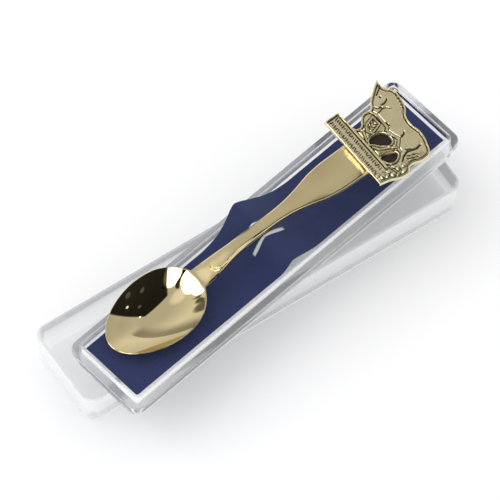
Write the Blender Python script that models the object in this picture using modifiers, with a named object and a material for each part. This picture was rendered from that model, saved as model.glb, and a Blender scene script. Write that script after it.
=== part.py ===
"""Souvenir spoon lying on the flocked card of its clear two-part case.

Six separate solids: the spoon, the struck plaque on its handle, the solder bead between them,
the card, the tray that holds the card, and the lid, which lies open side up under the tray.
X runs along the tray, with the bowl at -X and the plaque at +X.  Z is up, and the origin is on
the underside of the lid's floor, straight below the tray's centre.
"""

import math

import bmesh
import bpy
from mathutils import Matrix, Vector

MM = 0.001
GAP = 0.3 * MM                        # left between pieces that lie on each other

# Lid, open side up on the table
LID_LENGTH = 139.6 * MM
LID_WIDTH = 31.5 * MM
LID_HEIGHT = 14.5 * MM
LID_WALL = 1.1 * MM
LID_DRAFT = 0.7 * MM                  # how far each side leans in towards the floor
LID_FLOOR_RADIUS = 1.9 * MM
LID_CENTRE = Vector((-3.85 * MM, 3.55 * MM, 0.0))
LID_TURN = math.radians(-9.7)         # the lid lies a little askew under the tray

# Tray
TRAY_LENGTH = 139.5 * MM
TRAY_WIDTH = 31.6 * MM
TRAY_BODY_HEIGHT = 8.0 * MM
TRAY_DRAFT = 1.75 * MM
TRAY_FLOOR = 1.2 * MM
CORNER_RADIUS = 4.0 * MM
LIP_LENGTH = 134.3 * MM
LIP_WIDTH = 26.4 * MM
LIP_HEIGHT = 2.5 * MM
LIP_WALL = 1.1 * MM
LIP_CORNER = 1.0 * MM
TRAY_FLOOR_RADIUS = 0.8 * MM
HOLLOW_DRAFT = 0.2 * MM
HOLLOW_CORNER = 0.6 * MM
OVERLAP = 1.0 * MM                    # how far a cutter or joined block runs past its face
TRAY_Z = LID_HEIGHT + GAP
LIP_TOP = TRAY_Z + TRAY_BODY_HEIGHT + LIP_HEIGHT

# Flocked card
CARD_THICK = 0.5 * MM
CARD_TOP = LIP_TOP - 2.2 * MM
CARD_LENGTH = LIP_LENGTH - 2 * LIP_WALL - 4 * GAP
CARD_WIDTH = LIP_WIDTH - 2 * LIP_WALL - 4 * GAP
RIDGE_STEPS = 38                      # strips of card along the ridge
RIGHT_ROWS = 4                        # strips of card on each side of the notch
LEFT_ROWS = 3
RIDGE_CREST_X = -2.6                  # mm along the card
RIDGE_STATIONS = (                    # mm along the card, mm above its flat
    (-17.0, 0.0), (-12.5, 0.95), (-9.1, 2.8), (-6.2, 6.45), (-3.6, 11.1), (-2.6, 11.7),
    (-1.6, 11.3), (3.8, 7.5), (10.7, 2.8), (15.5, 0.85), (21.0, 0.0))
CRADLE_CENTRE_Y = 0.3 * MM            # where the handle crosses the ridge
NOTCH_WIDTH = 6.4 * MM
CRADLE_WIDTH = 3.8 * MM
CRADLE_START = -7.4                   # the slits' ends, mm along the card
CRADLE_END = 5.6
CRADLE_DROP = 0.9                     # the pushed-in strip's top, mm below the crest
RIDGE_LEFT = (1.17, RIDGE_CREST_X, 1.0)    # at the card's +Y edge: height, crest place, spread
RIDGE_RIGHT = (0.34, 0.8, 0.66)            # at its -Y edge, where the ridge is pressed down

# Spoon, in its own frame: x from the bowl's tip along the handle, the bowl's rim at z = 0
BOWL_LENGTH = 34.8
BOWL_HALF_WIDTH = 11.9
BOWL_EGG = 0.13                       # how much fuller the bowl is towards the handle
BOWL_DEPTH = 4.5
BOWL_METAL = 1.1
HANDLE_END = 102.0
HANDLE_STATIONS = (                   # x, half width, rise of the middle, metal thickness (mm)
    (31.0, 3.2, 0.0, BOWL_METAL), (36.5, 3.1, 0.6, 1.6), (42.0, 2.6, 2.0, 1.7), (49.0, 1.7, 3.5, 1.6),
    (57.0, 1.4, 4.1, 1.5), (64.0, 1.45, 3.9, 1.4), (70.0, 1.95, 3.5, 1.4), (75.5, 3.1, 2.9, 1.4),
    (83.0, 5.0, 2.1, 1.4), (89.0, 5.6, 1.4, 1.4), (96.0, 5.7, 0.8, 1.4), (102.0, 5.7, 0.6, 1.4))
SHOULDER_BLEND = 2.4
HANDLE_CROWN = 0.10                   # how far the handle's middle stands above its edges
MAX_METAL = 2.4
BOWL_STEPS = 22
HANDLE_STEPS = 34
STEPS_ACROSS = 14

# How the spoon lies in the case
SPOON_BOWL_CENTRE = Vector((-43.8 * MM, 3.7 * MM, LIP_TOP + 3.95 * MM))
SPOON_YAW = math.radians(-4.7)
SPOON_PITCH = math.radians(5.0)       # plaque end up
SPOON_ROLL = math.radians(5.0)        # +Y side up

# Plaque, in its own frame: p across from the bar's left end, q away from the bowl (mm)
PLAQUE_THICK = 1.9 * MM
RECESS_FLOOR = 0.6 * MM               # metal left under the recesses by the horse's legs
PLAQUE_BAR_Q = 97.0                   # the bar's front edge, measured along the spoon
PLAQUE_HANDLE_P = 14.8                # where the handle's middle meets the bar
BAR_LENGTH = 26.8
BAR_DEPTH = 5.2
HORSE_OUTLINE = (                     # p, q, and c for a corner or s for a smooth point
    (0.0, 0.0, "c"), (0.2, BAR_DEPTH, "c"), (6.8, 5.4, "c"), (8.2, 6.3, "s"), (8.2, 7.9, "s"),
    (6.2, 9.5, "s"), (5.4, 11.5, "s"), (5.8, 13.4, "s"), (3.6, 15.4, "s"), (1.5, 18.0, "s"),
    (-0.7, 21.3, "c"), (2.6, 21.4, "s"), (4.9, 23.2, "s"), (8.8, 23.3, "s"), (12.0, 22.4, "s"),
    (14.2, 20.8, "s"), (17.2, 20.3, "s"), (21.3, 20.9, "s"), (25.4, 20.1, "s"), (28.4, 18.5, "s"),
    (28.9, 15.6, "s"), (27.9, 11.4, "s"), (29.4, 9.6, "s"), (29.4, 7.4, "s"), (27.6, 3.1, "s"),
    (BAR_LENGTH, 0.0, "c"))
FORELEG_RECESS = ((14.2, 6.3), (13.9, 11.0), (16.7, 12.4), (18.5, 11.5), (17.7, 9.3), (15.5, 7.2))
HINDLEG_RECESS = ((20.2, 5.9), (21.0, 9.0), (22.2, 10.7), (23.4, 9.8), (23.7, 7.7), (21.8, 6.1))

SOLDER_LENGTH = 11.0 * MM
SOLDER_SIZE = 0.9 * MM


def clear_scene():
    """Remove what the file holds, so that the result is the same each time."""
    for item in list(bpy.data.objects):
        bpy.data.objects.remove(item, do_unlink=True)


def new_collection(name):
    """Make a collection for the parts or for the cutters."""
    group = bpy.data.collections.new(name)
    bpy.context.scene.collection.children.link(group)
    return group


def new_material(name, colour, roughness, metallic, alpha=1.0):
    """A plain Principled material."""
    material = bpy.data.materials.new(name)
    material.use_nodes = True
    shader = material.node_tree.nodes["Principled BSDF"]
    shader.inputs["Base Color"].default_value = (*colour, 1.0)
    shader.inputs["Roughness"].default_value = roughness
    shader.inputs["Metallic"].default_value = metallic
    shader.inputs["Alpha"].default_value = alpha
    return material


def new_object(name, mesh, group, material=None):
    """Link a mesh as an object in its collection."""
    item = bpy.data.objects.new(name, mesh)
    group.objects.link(item)
    if material is not None:
        mesh.materials.append(material)
    return item


def mesh_from(bm, name):
    """Turn a bmesh into a mesh with its faces pointing out."""
    bmesh.ops.recalc_face_normals(bm, faces=bm.faces)
    mesh = bpy.data.meshes.new(name)
    bm.to_mesh(mesh)
    bm.free()
    return mesh


def smooth_shade(item, angle=35.0):
    """Shade round surfaces smooth and keep the real edges sharp."""
    item.data.shade_smooth()
    item.data.set_sharp_from_angle(angle=math.radians(angle))


def use_as_cutter(item):
    """A cutter shows as wire and is left out of the part."""
    item.hide_render = True
    item.display_type = "WIRE"


def boolean(item, other, operation):
    """Cut or join with another mesh by the exact solver."""
    modifier = item.modifiers.new(operation.title(), "BOOLEAN")
    modifier.operation = operation
    modifier.object = other
    modifier.solver = "EXACT"


def spline_value(stations, x, column):
    """Read a smooth curve through a table's rows: column by column 0, without overshoot."""
    if x <= stations[0][0]:
        return stations[0][column]
    if x >= stations[-1][0]:
        return stations[-1][column]
    last = len(stations) - 1
    i = max(k for k in range(last) if stations[k][0] <= x)
    x0, x1 = stations[i][0], stations[i + 1][0]
    y0, y1 = stations[i][column], stations[i + 1][column]

    def slope(k):
        if k in (0, last):
            return 0.0
        before = (stations[k][column] - stations[k - 1][column]) / (stations[k][0] - stations[k - 1][0])
        after = (stations[k + 1][column] - stations[k][column]) / (stations[k + 1][0] - stations[k][0])
        return 0.0 if before * after <= 0.0 else 2.0 * before * after / (before + after)

    t = (x - x0) / (x1 - x0)
    h = x1 - x0
    return ((2 * t**3 - 3 * t**2 + 1) * y0 + (t**3 - 2 * t**2 + t) * h * slope(i)
            + (3 * t**2 - 2 * t**3) * y1 + (t**3 - t**2) * h * slope(i + 1))


def rounded_block(length, width, z_low, z_high, draft, corner, floor_radius=0.0):
    """A block with round upright corners that leans in by draft at its low end."""
    bm = bmesh.new()
    bmesh.ops.create_cube(bm, size=1.0)
    for vert in bm.verts:
        lean = draft if vert.co.z < 0 else 0.0
        vert.co.x = math.copysign(length / 2 - lean, vert.co.x)
        vert.co.y = math.copysign(width / 2 - lean, vert.co.y)
        vert.co.z = z_low if vert.co.z < 0 else z_high
    upright = [e for e in bm.edges if abs(e.verts[0].co.z - e.verts[1].co.z) > 1e-6]
    bmesh.ops.bevel(bm, geom=upright, offset=corner, segments=6, profile=0.5, affect="EDGES")
    if floor_radius > 0.0:
        rim = [e for e in bm.edges if all(abs(v.co.z - z_low) < 1e-7 for v in e.verts)]
        bmesh.ops.bevel(bm, geom=rim, offset=floor_radius, segments=3, profile=0.5, affect="EDGES")
    return bm


def make_lid(group, material):
    """The lid: an open tub of even wall, lying open side up and turned under the tray."""
    bm = rounded_block(LID_LENGTH, LID_WIDTH, 0.0, LID_HEIGHT, LID_DRAFT, CORNER_RADIUS, LID_FLOOR_RADIUS)
    top = [f for f in bm.faces if all(abs(v.co.z - LID_HEIGHT) < 1e-7 for v in f.verts)]
    bmesh.ops.delete(bm, geom=top, context="FACES_ONLY")
    bmesh.ops.recalc_face_normals(bm, faces=bm.faces)
    bottom = min(bm.faces, key=lambda f: f.calc_center_median().z)
    if bottom.normal.z > 0:
        bmesh.ops.reverse_faces(bm, faces=bm.faces)
    mesh = bpy.data.meshes.new("case_lid")
    bm.to_mesh(mesh)
    bm.free()
    lid = new_object("case_lid", mesh, group, material)
    lid.location = LID_CENTRE
    lid.rotation_euler = (0.0, 0.0, LID_TURN)
    wall = lid.modifiers.new("Wall", "SOLIDIFY")
    wall.thickness = LID_WALL
    wall.offset = -1.0
    wall.use_even_offset = True
    smooth_shade(lid)
    return lid


def make_tray(group, cutters, material):
    """The tray: a drafted body, the lip that the lid closes over, and the hollow for the card."""
    shoulder = TRAY_Z + TRAY_BODY_HEIGHT
    body = rounded_block(TRAY_LENGTH, TRAY_WIDTH, TRAY_Z, shoulder, TRAY_DRAFT, CORNER_RADIUS,
                         TRAY_FLOOR_RADIUS)
    tray = new_object("case_tray", mesh_from(body, "case_tray"), group, material)
    lip = rounded_block(LIP_LENGTH, LIP_WIDTH, shoulder - OVERLAP, LIP_TOP, 0.0, LIP_CORNER)
    lip_block = new_object("tray_lip_block", mesh_from(lip, "tray_lip_block"), cutters)
    hollow = rounded_block(LIP_LENGTH - 2 * LIP_WALL, LIP_WIDTH - 2 * LIP_WALL, TRAY_Z + TRAY_FLOOR,
                           LIP_TOP + OVERLAP, HOLLOW_DRAFT, HOLLOW_CORNER)
    hollow_block = new_object("tray_hollow_block", mesh_from(hollow, "tray_hollow_block"), cutters)
    use_as_cutter(lip_block)
    use_as_cutter(hollow_block)
    boolean(tray, lip_block, "UNION")
    boolean(tray, hollow_block, "DIFFERENCE")
    return tray


def card_columns():
    """Places along the card, in mm, where it is creased or curved."""
    half = CARD_LENGTH / MM / 2
    first, last = RIDGE_STATIONS[0][0], RIDGE_STATIONS[-1][0]
    places = [first + (last - first) * i / RIDGE_STEPS for i in range(RIDGE_STEPS + 1)]
    places += [CRADLE_START, CRADLE_END, RIDGE_CREST_X]
    return sorted({round(p, 3) for p in places} | {-half, half})


def ridge_height(x, y):
    """Height of the ridge above the card's flat: full at the cradle, lower towards -Y."""
    low_notch = CRADLE_CENTRE_Y - NOTCH_WIDTH / 2
    high_notch = CRADLE_CENTRE_Y + NOTCH_WIDTH / 2
    if y < low_notch:
        reach, end = (low_notch - y) / (low_notch + CARD_WIDTH / 2), RIDGE_RIGHT
    else:
        reach, end = max(0.0, (y - high_notch) / (CARD_WIDTH / 2 - high_notch)), RIDGE_LEFT
    height, crest, spread = (a + (b - a) * reach for a, b in zip((1.0, RIDGE_CREST_X, 1.0), end))
    return height * spline_value(RIDGE_STATIONS, RIDGE_CREST_X + (x - crest) / spread, 1)


def cradle_height(x):
    """The pushed-in strip: straight up from the slits' ends to a round top under the handle."""
    crest = max(row[1] for row in RIDGE_STATIONS) - CRADLE_DROP
    if x <= RIDGE_CREST_X:
        start, run = CRADLE_START, RIDGE_CREST_X - CRADLE_START
    else:
        start, run = CRADLE_END, RIDGE_CREST_X - CRADLE_END
    foot = spline_value(RIDGE_STATIONS, start, 1)
    t = (x - start) / run
    return foot + (crest - foot) * math.sin(t * math.pi / 2)


def make_card(group, material):
    """The card: flat with folded-down ends, a ridge across, and the cradle cut into the ridge."""
    columns = card_columns()
    foot = TRAY_Z + TRAY_FLOOR + GAP
    half_width = CARD_WIDTH / 2
    low_notch = CRADLE_CENTRE_Y - NOTCH_WIDTH / 2
    high_notch = CRADLE_CENTRE_Y + NOTCH_WIDTH / 2
    low_strip = CRADLE_CENTRE_Y - CRADLE_WIDTH / 2
    high_strip = CRADLE_CENTRE_Y + CRADLE_WIDTH / 2
    right = [-half_width + (low_notch + half_width) * k / RIGHT_ROWS for k in range(RIGHT_ROWS)]
    left = [high_notch + (half_width - high_notch) * k / LEFT_ROWS for k in range(1, LEFT_ROWS + 1)]
    rows = right + [low_notch, low_strip, high_strip, high_notch] + left
    strip = (rows.index(low_strip), rows.index(high_strip))
    bm = bmesh.new()
    lines = [[bm.verts.new((columns[0] * MM, y, foot)) for y in rows]]
    for x in columns:
        in_cradle = CRADLE_START < x < CRADLE_END
        heights = [cradle_height(x) if in_cradle and k in strip else ridge_height(x, y)
                   for k, y in enumerate(rows)]
        lines.append([bm.verts.new((x * MM, y, CARD_TOP + h * MM)) for y, h in zip(rows, heights)])
    lines.append([bm.verts.new((columns[-1] * MM, y, foot)) for y in rows])
    places = [columns[0]] + columns + [columns[-1]]
    for i in range(len(lines) - 1):
        slit = places[i] >= CRADLE_START - 1e-4 and places[i + 1] <= CRADLE_END + 1e-4
        for k in range(len(rows) - 1):
            if slit and k in (strip[0] - 1, strip[1]):
                continue
            bm.faces.new((lines[i][k], lines[i + 1][k], lines[i + 1][k + 1], lines[i][k + 1]))
    bmesh.ops.delete(bm, geom=[v for v in bm.verts if not v.link_faces], context="VERTS")
    flat = max(bm.faces, key=lambda f: f.calc_area())
    if flat.normal.z < 0:
        bmesh.ops.reverse_faces(bm, faces=bm.faces)
    mesh = bpy.data.meshes.new("insert_card")
    bm.to_mesh(mesh)
    bm.free()
    card = new_object("insert_card", mesh, group, material)
    board = card.modifiers.new("Board", "SOLIDIFY")
    board.thickness = CARD_THICK
    board.offset = -1.0
    board.use_even_offset = True
    return card


def bowl_part(x):
    """1 along the bowl's middle, falling to 0 at its tip and at the neck."""
    along = (x - BOWL_LENGTH / 2) / (BOWL_LENGTH / 2)
    return max(0.0, 1.0 - along * along) if x < BOWL_LENGTH else 0.0


def half_width(x):
    """The spoon's half width: an egg-shaped bowl blended into the handle."""
    along = (x - BOWL_LENGTH / 2) / (BOWL_LENGTH / 2)
    bowl = BOWL_HALF_WIDTH * math.sqrt(bowl_part(x)) * (1.0 + BOWL_EGG * along)
    if x < BOWL_LENGTH / 2:
        return bowl
    handle = spline_value(HANDLE_STATIONS, x, 1)
    reach = min(1.0, (x - BOWL_LENGTH / 2) / (BOWL_LENGTH / 4))
    blend = SHOULDER_BLEND * reach
    joined = (bowl + handle + math.hypot(bowl - handle, blend)) / 2
    return bowl + (joined - bowl) * reach


def spoon_height(x, v):
    """Height of the upper surface at x, v from -1 to 1 across."""
    dish = BOWL_DEPTH * bowl_part(x) * (1.0 - v * v)
    rise = spline_value(HANDLE_STATIONS, x, 2)
    crown = HANDLE_CROWN * half_width(x) * (1.0 - v * v) if x > BOWL_LENGTH else 0.0
    return rise + crown - dish


def metal_thickness(x):
    """Thickness of the stamping along the spoon."""
    return spline_value(HANDLE_STATIONS, x, 3)


def spoon_places():
    """Places along the spoon: close together at the tip, where the outline turns."""
    bowl = [BOWL_LENGTH / 2 * (1.0 - math.cos(math.pi * i / BOWL_STEPS)) for i in range(1, BOWL_STEPS - 3)]
    start = bowl[-1]
    handle = [start + (HANDLE_END - start) * i / HANDLE_STEPS for i in range(1, HANDLE_STEPS + 1)]
    return bowl + handle


def make_spoon(group, material, pose):
    """The spoon: one open surface from tip to handle end, given its metal by Solidify."""
    bm = bmesh.new()
    metal = bm.verts.layers.deform.verify()
    tip = bm.verts.new((0.0, 0.0, 0.0))
    tip[metal][0] = BOWL_METAL / MAX_METAL
    rows = []
    for x in spoon_places():
        row = []
        for k in range(STEPS_ACROSS + 1):
            share = 2.0 * k / STEPS_ACROSS - 1.0
            v = math.sin(math.pi / 2 * share) if x < BOWL_LENGTH else share
            vert = bm.verts.new((x * MM, half_width(x) * v * MM, spoon_height(x, v) * MM))
            vert[metal][0] = metal_thickness(x) / MAX_METAL
            row.append(vert)
        rows.append(row)
    for k in range(STEPS_ACROSS):
        bm.faces.new((tip, rows[0][k], rows[0][k + 1]))
    for near, far in zip(rows, rows[1:]):
        for k in range(STEPS_ACROSS):
            bm.faces.new((near[k], far[k], far[k + 1], near[k + 1]))
    bmesh.ops.recalc_face_normals(bm, faces=bm.faces)
    if sum(f.normal.z for f in bm.faces) < 0:
        bmesh.ops.reverse_faces(bm, faces=bm.faces)
    mesh = bpy.data.meshes.new("spoon")
    bm.to_mesh(mesh)
    bm.free()
    spoon = new_object("spoon", mesh, group, material)
    spoon.vertex_groups.new(name="metal")
    stamping = spoon.modifiers.new("Metal", "SOLIDIFY")
    stamping.thickness = MAX_METAL * MM
    stamping.offset = -1.0
    stamping.vertex_group = "metal"
    spoon.parent = pose
    smooth_shade(spoon, 50.0)
    return spoon


def closed_spline(curve, points):
    """Add a closed outline; points are p, q and s for smooth or c for a corner."""
    spline = curve.splines.new("BEZIER")
    spline.bezier_points.add(len(points) - 1)
    spline.use_cyclic_u = True
    spline.resolution_u = 4
    for point, (p, q, kind) in zip(spline.bezier_points, points):
        point.co = (p * MM, q * MM, 0.0)
        handle = "AUTO" if kind == "s" else "VECTOR"
        point.handle_left_type = handle
        point.handle_right_type = handle


def plaque_place():
    """The plaque's place on the spoon: p runs towards -Y, q along the handle, on its top."""
    middle = PLAQUE_BAR_Q + BAR_DEPTH / 2
    top = spoon_height(middle, 0.0) * MM + GAP
    return Matrix(((0.0, 1.0, 0.0, PLAQUE_BAR_Q * MM), (-1.0, 0.0, 0.0, PLAQUE_HANDLE_P * MM),
                   (0.0, 0.0, 1.0, top), (0.0, 0.0, 0.0, 1.0)))


def outline_block(name, outlines, low, high, group, material=None):
    """A block between two heights above the plaque's underside, cut to closed outlines."""
    curve = bpy.data.curves.new(name, "CURVE")
    curve.dimensions = "2D"
    curve.fill_mode = "BOTH"
    curve.extrude = (high - low) / 2
    for points in outlines:
        closed_spline(curve, points)
    flat = bpy.data.objects.new(name, curve)
    group.objects.link(flat)
    bpy.context.view_layer.update()
    mesh = bpy.data.meshes.new_from_object(flat.evaluated_get(bpy.context.evaluated_depsgraph_get()))
    bpy.data.objects.remove(flat, do_unlink=True)
    bm = bmesh.new()
    bm.from_mesh(mesh)
    bpy.data.meshes.remove(mesh)
    bmesh.ops.remove_doubles(bm, verts=bm.verts, dist=1e-6)
    middle = Matrix.Translation((0.0, 0.0, (low + high) / 2))
    bmesh.ops.transform(bm, matrix=plaque_place() @ middle, verts=bm.verts)
    return new_object(name, mesh_from(bm, name), group, material)


def make_plaque(group, cutters, material, pose):
    """The struck plaque: a horse standing on a name bar, with two deep recesses by its legs."""
    plaque = outline_block("emblem_plaque", [HORSE_OUTLINE], 0.0, PLAQUE_THICK, group, material)
    recesses = [[(p, q, "s") for p, q in points] for points in (FORELEG_RECESS, HINDLEG_RECESS)]
    sunk = outline_block("plaque_recess_block", recesses, RECESS_FLOOR, PLAQUE_THICK + OVERLAP, cutters)
    use_as_cutter(sunk)
    plaque.parent = pose
    sunk.parent = pose
    boolean(plaque, sunk, "DIFFERENCE")
    return plaque


def make_solder(group, material, pose):
    """The solder bead in the corner between the handle's top and the bar's front edge."""
    bm = bmesh.new()
    bmesh.ops.create_cone(bm, cap_ends=True, segments=12, radius1=SOLDER_SIZE / 2, radius2=SOLDER_SIZE / 2,
                          depth=SOLDER_LENGTH, matrix=Matrix.Rotation(math.radians(90.0), 4, "X"))
    x = PLAQUE_BAR_Q * MM - GAP - SOLDER_SIZE / 2
    top = spoon_height(PLAQUE_BAR_Q - 1.0, 0.0) * MM
    bmesh.ops.translate(bm, verts=bm.verts, vec=(x, 0.0, top + GAP + SOLDER_SIZE / 2))
    bead = new_object("solder_fillet", mesh_from(bm, "solder_fillet"), group, material)
    bead.parent = pose
    smooth_shade(bead)
    return bead


def spoon_pose(group):
    """An empty at the bowl's tip that carries the spoon and what is fixed to it."""
    pose = bpy.data.objects.new("spoon_pose", None)
    group.objects.link(pose)
    turn = (Matrix.Rotation(SPOON_YAW, 4, "Z") @ Matrix.Rotation(-SPOON_PITCH, 4, "Y")
            @ Matrix.Rotation(SPOON_ROLL, 4, "X"))
    to_tip = Matrix.Translation((-BOWL_LENGTH / 2 * MM, 0.0, 0.0))
    pose.matrix_world = Matrix.Translation(SPOON_BOWL_CENTRE) @ turn @ to_tip
    return pose


def main():
    """Build the six pieces."""
    clear_scene()
    parts = new_collection("souvenir_spoon")
    cutters = new_collection("cutters")
    gold = new_material("gold_plate", (0.80, 0.66, 0.38), 0.18, 1.0)
    antique = new_material("antique_gold", (0.72, 0.60, 0.38), 0.35, 1.0)
    solder = new_material("plated_solder", (0.85, 0.68, 0.25), 0.25, 1.0)
    clear = new_material("clear_polystyrene", (0.90, 0.91, 0.92), 0.08, 0.0, alpha=0.35)
    flock = new_material("blue_flock", (0.035, 0.05, 0.14), 0.95, 0.0)
    make_lid(parts, clear)
    make_tray(parts, cutters, clear)
    make_card(parts, flock)
    pose = spoon_pose(parts)
    make_spoon(parts, gold, pose)
    make_plaque(parts, cutters, antique, pose)
    make_solder(parts, solder, pose)


main()
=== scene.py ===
"""Souvenir spoon in its clear case: the looks, laid out as an add-on.

Every piece has its own operator, and the panel in the sidebar lists them.  Sizes are in metres
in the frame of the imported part: X along the tray, Z up, the lid's underside at Z = 0.
"""

import math

import bmesh
import bpy
import numpy as np
from bpy.props import FloatProperty, FloatVectorProperty, IntProperty, PointerProperty
from bpy.types import Operator, Panel, PropertyGroup
from mathutils import Matrix, Vector
from mathutils.geometry import delaunay_2d_cdt


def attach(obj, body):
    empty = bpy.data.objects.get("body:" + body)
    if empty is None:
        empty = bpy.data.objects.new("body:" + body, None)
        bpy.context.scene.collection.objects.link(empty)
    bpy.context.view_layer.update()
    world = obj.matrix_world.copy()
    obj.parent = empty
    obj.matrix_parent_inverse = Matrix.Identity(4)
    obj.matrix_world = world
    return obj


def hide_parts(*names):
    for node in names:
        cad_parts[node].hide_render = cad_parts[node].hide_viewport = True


bl_info = {
    "name": "Souvenir Spoon Case",
    "version": (1, 0, 0),
    "blender": (4, 5, 0),
    "location": "3D View > Sidebar > Spoon Case",
    "description": "Builds a gilt souvenir spoon with a horse plaque in its clear case",
    "category": "Object",
}

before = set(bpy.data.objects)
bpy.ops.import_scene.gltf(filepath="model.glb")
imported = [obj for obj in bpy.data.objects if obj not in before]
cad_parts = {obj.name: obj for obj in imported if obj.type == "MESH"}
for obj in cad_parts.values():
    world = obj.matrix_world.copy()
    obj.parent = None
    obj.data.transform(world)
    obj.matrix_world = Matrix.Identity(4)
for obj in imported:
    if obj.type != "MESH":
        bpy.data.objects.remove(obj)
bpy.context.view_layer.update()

MM = 0.001
GAP = 0.3                             # mm left between pieces that lie on each other

# Case, in mm: half widths, with the length longer by the same amount all the way round
LID_EXTRA = 54.05                     # half length less half width
TRAY_EXTRA = 53.95
LID_CENTRE = (-3.85, 3.55)
LID_TURN = math.radians(-9.7)
LIP_TOP = 25.3
TRAY_PROFILE = (                      # half width, height, corner radius, rounding
    (14.05, 14.8, 4.0, 0.8), (15.8, 22.8, 4.0, 0.35), (13.2, 22.8, 1.4, 0.25),
    (13.2, LIP_TOP, 1.4, 0.3), (12.1, LIP_TOP, 0.7, 0.3), (11.9, 16.0, 0.7, 0.5))
LID_PROFILE = (
    (15.05, 0.0, 4.0, 1.9), (15.75, 14.5, 4.0, 0.3), (14.65, 14.5, 2.9, 0.3), (14.0, 1.1, 2.9, 1.2))

FLOOR_REACH = 4.0                     # how far in a floor is followed to round the edge beside it

# Clear plastic
PLASTIC_IOR = 1.59
PASSING_TINT = (0.94, 0.943, 0.947, 1.0)   # what one face lets through of a ray that isn't bent
BENDING_FACES = 2                     # faces that bend a ray before it passes straight

# Card, in mm
CARD_TOP = 23.1
CARD_FOOT = 16.3
CARD_HALF_LENGTH = 65.45
CARD_HALF_WIDTH = 11.5
RIDGE_CREST_X = -2.6
RIDGE_STATIONS = (
    (-17.0, 0.0), (-12.5, 0.95), (-9.1, 2.8), (-6.2, 6.45), (-3.6, 11.1), (-2.6, 11.7),
    (-1.6, 11.3), (3.8, 7.5), (10.7, 2.8), (15.5, 0.85), (21.0, 0.0))
CRADLE_CENTRE_Y = 0.3
NOTCH_WIDTH = 6.4
CRADLE_WIDTH = 3.8
CRADLE_START = -7.4
CRADLE_END = 5.6
CRADLE_DROP = 0.9
RIDGE_LEFT = (1.17, RIDGE_CREST_X, 1.0)
RIDGE_RIGHT = (0.34, 0.8, 0.66)

# Spoon, in mm, in its own frame: x from the bowl's tip along the handle, the rim at z = 0
BOWL_LENGTH = 34.8
BOWL_HALF_WIDTH = 11.9
BOWL_EGG = 0.13
BOWL_DEPTH = 4.5
BOWL_METAL = 1.1
RIM_LAND = 0.03                       # share of the dish given to the flat of the rim
RUN_OUT = 0.08                        # how softly the dish ends towards the handle
RIM_METAL = 0.62                      # the bowl's metal thins to this at its rim
RIM_ROUNDING = 0.24
SECTION_STEPS = 64
TIP_DIVISIONS = 96                    # sections from the tip, by angle, over the bowl's whole length
TIP_STEPS = 83                        # how many of them are made
NECK_STEP = 0.16
NECK_STEPS = 75
HANDLE_STEPS = 80
HANDLE_END = 102.0
HANDLE_STATIONS = (                   # x, half width, rise, metal
    (31.0, 3.2, 0.0, 1.2), (36.5, 3.1, 0.6, 1.6), (42.0, 2.6, 2.0, 1.7), (49.0, 1.7, 3.5, 1.6),
    (57.0, 1.4, 4.1, 1.5), (64.0, 1.45, 3.9, 1.4), (70.0, 1.95, 3.5, 1.4), (75.5, 3.1, 2.9, 1.4),
    (83.0, 5.0, 2.1, 1.4), (89.0, 5.6, 1.4, 1.4), (96.0, 5.7, 0.8, 1.4), (102.0, 5.7, 0.6, 1.4))
SHOULDER_BLEND = 2.4
HANDLE_CROWN = 0.10
TONGUE_TIP = 39.6                     # where the handle's root ends on the bowl's shoulder
TONGUE_HALF_WIDTH = 2.2
TONGUE_EDGE = 0.55                    # shoulder left showing beside the tongue
TONGUE_RISE = 0.85
SPOON_BOWL_CENTRE = (-43.8, 3.7, LIP_TOP + 3.95)
SPOON_YAW = math.radians(-4.7)
SPOON_PITCH = math.radians(5.0)
SPOON_ROLL = math.radians(5.0)

# Plaque, in mm, in its own frame: p along the bar, q away from the bowl
PLAQUE_THICK = 1.9
RECESS_FLOOR = 0.6                    # metal left under the recesses by the horse's legs
PLAQUE_BAR_Q = 97.0
PLAQUE_HANDLE_P = 14.8
BAR_LENGTH = 26.8
BAR_DEPTH = 5.2
HORSE_OUTLINE = (
    (0.0, 0.0, "c"), (0.2, BAR_DEPTH, "c"), (6.8, 5.4, "c"), (8.2, 6.3, "s"), (8.2, 7.9, "s"),
    (6.2, 9.5, "s"), (5.4, 11.5, "s"), (5.8, 13.4, "s"), (3.6, 15.4, "s"), (1.5, 18.0, "s"),
    (-0.7, 21.3, "c"), (2.6, 21.4, "s"), (4.9, 23.2, "s"), (8.8, 23.3, "s"), (12.0, 22.4, "s"),
    (14.2, 20.8, "s"), (17.2, 20.3, "s"), (21.3, 20.9, "s"), (25.4, 20.1, "s"), (28.4, 18.5, "s"),
    (28.9, 15.6, "s"), (27.9, 11.4, "s"), (29.4, 9.6, "s"), (29.4, 7.4, "s"), (27.6, 3.1, "s"),
    (BAR_LENGTH, 0.0, "c"))
FORELEG_RECESS = ((14.2, 6.3), (13.9, 11.0), (16.7, 12.4), (18.5, 11.5), (17.7, 9.3), (15.5, 7.2))
HINDLEG_RECESS = ((20.2, 5.9), (21.0, 9.0), (22.2, 10.7), (23.4, 9.8), (23.7, 7.7), (21.8, 6.1))
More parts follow.
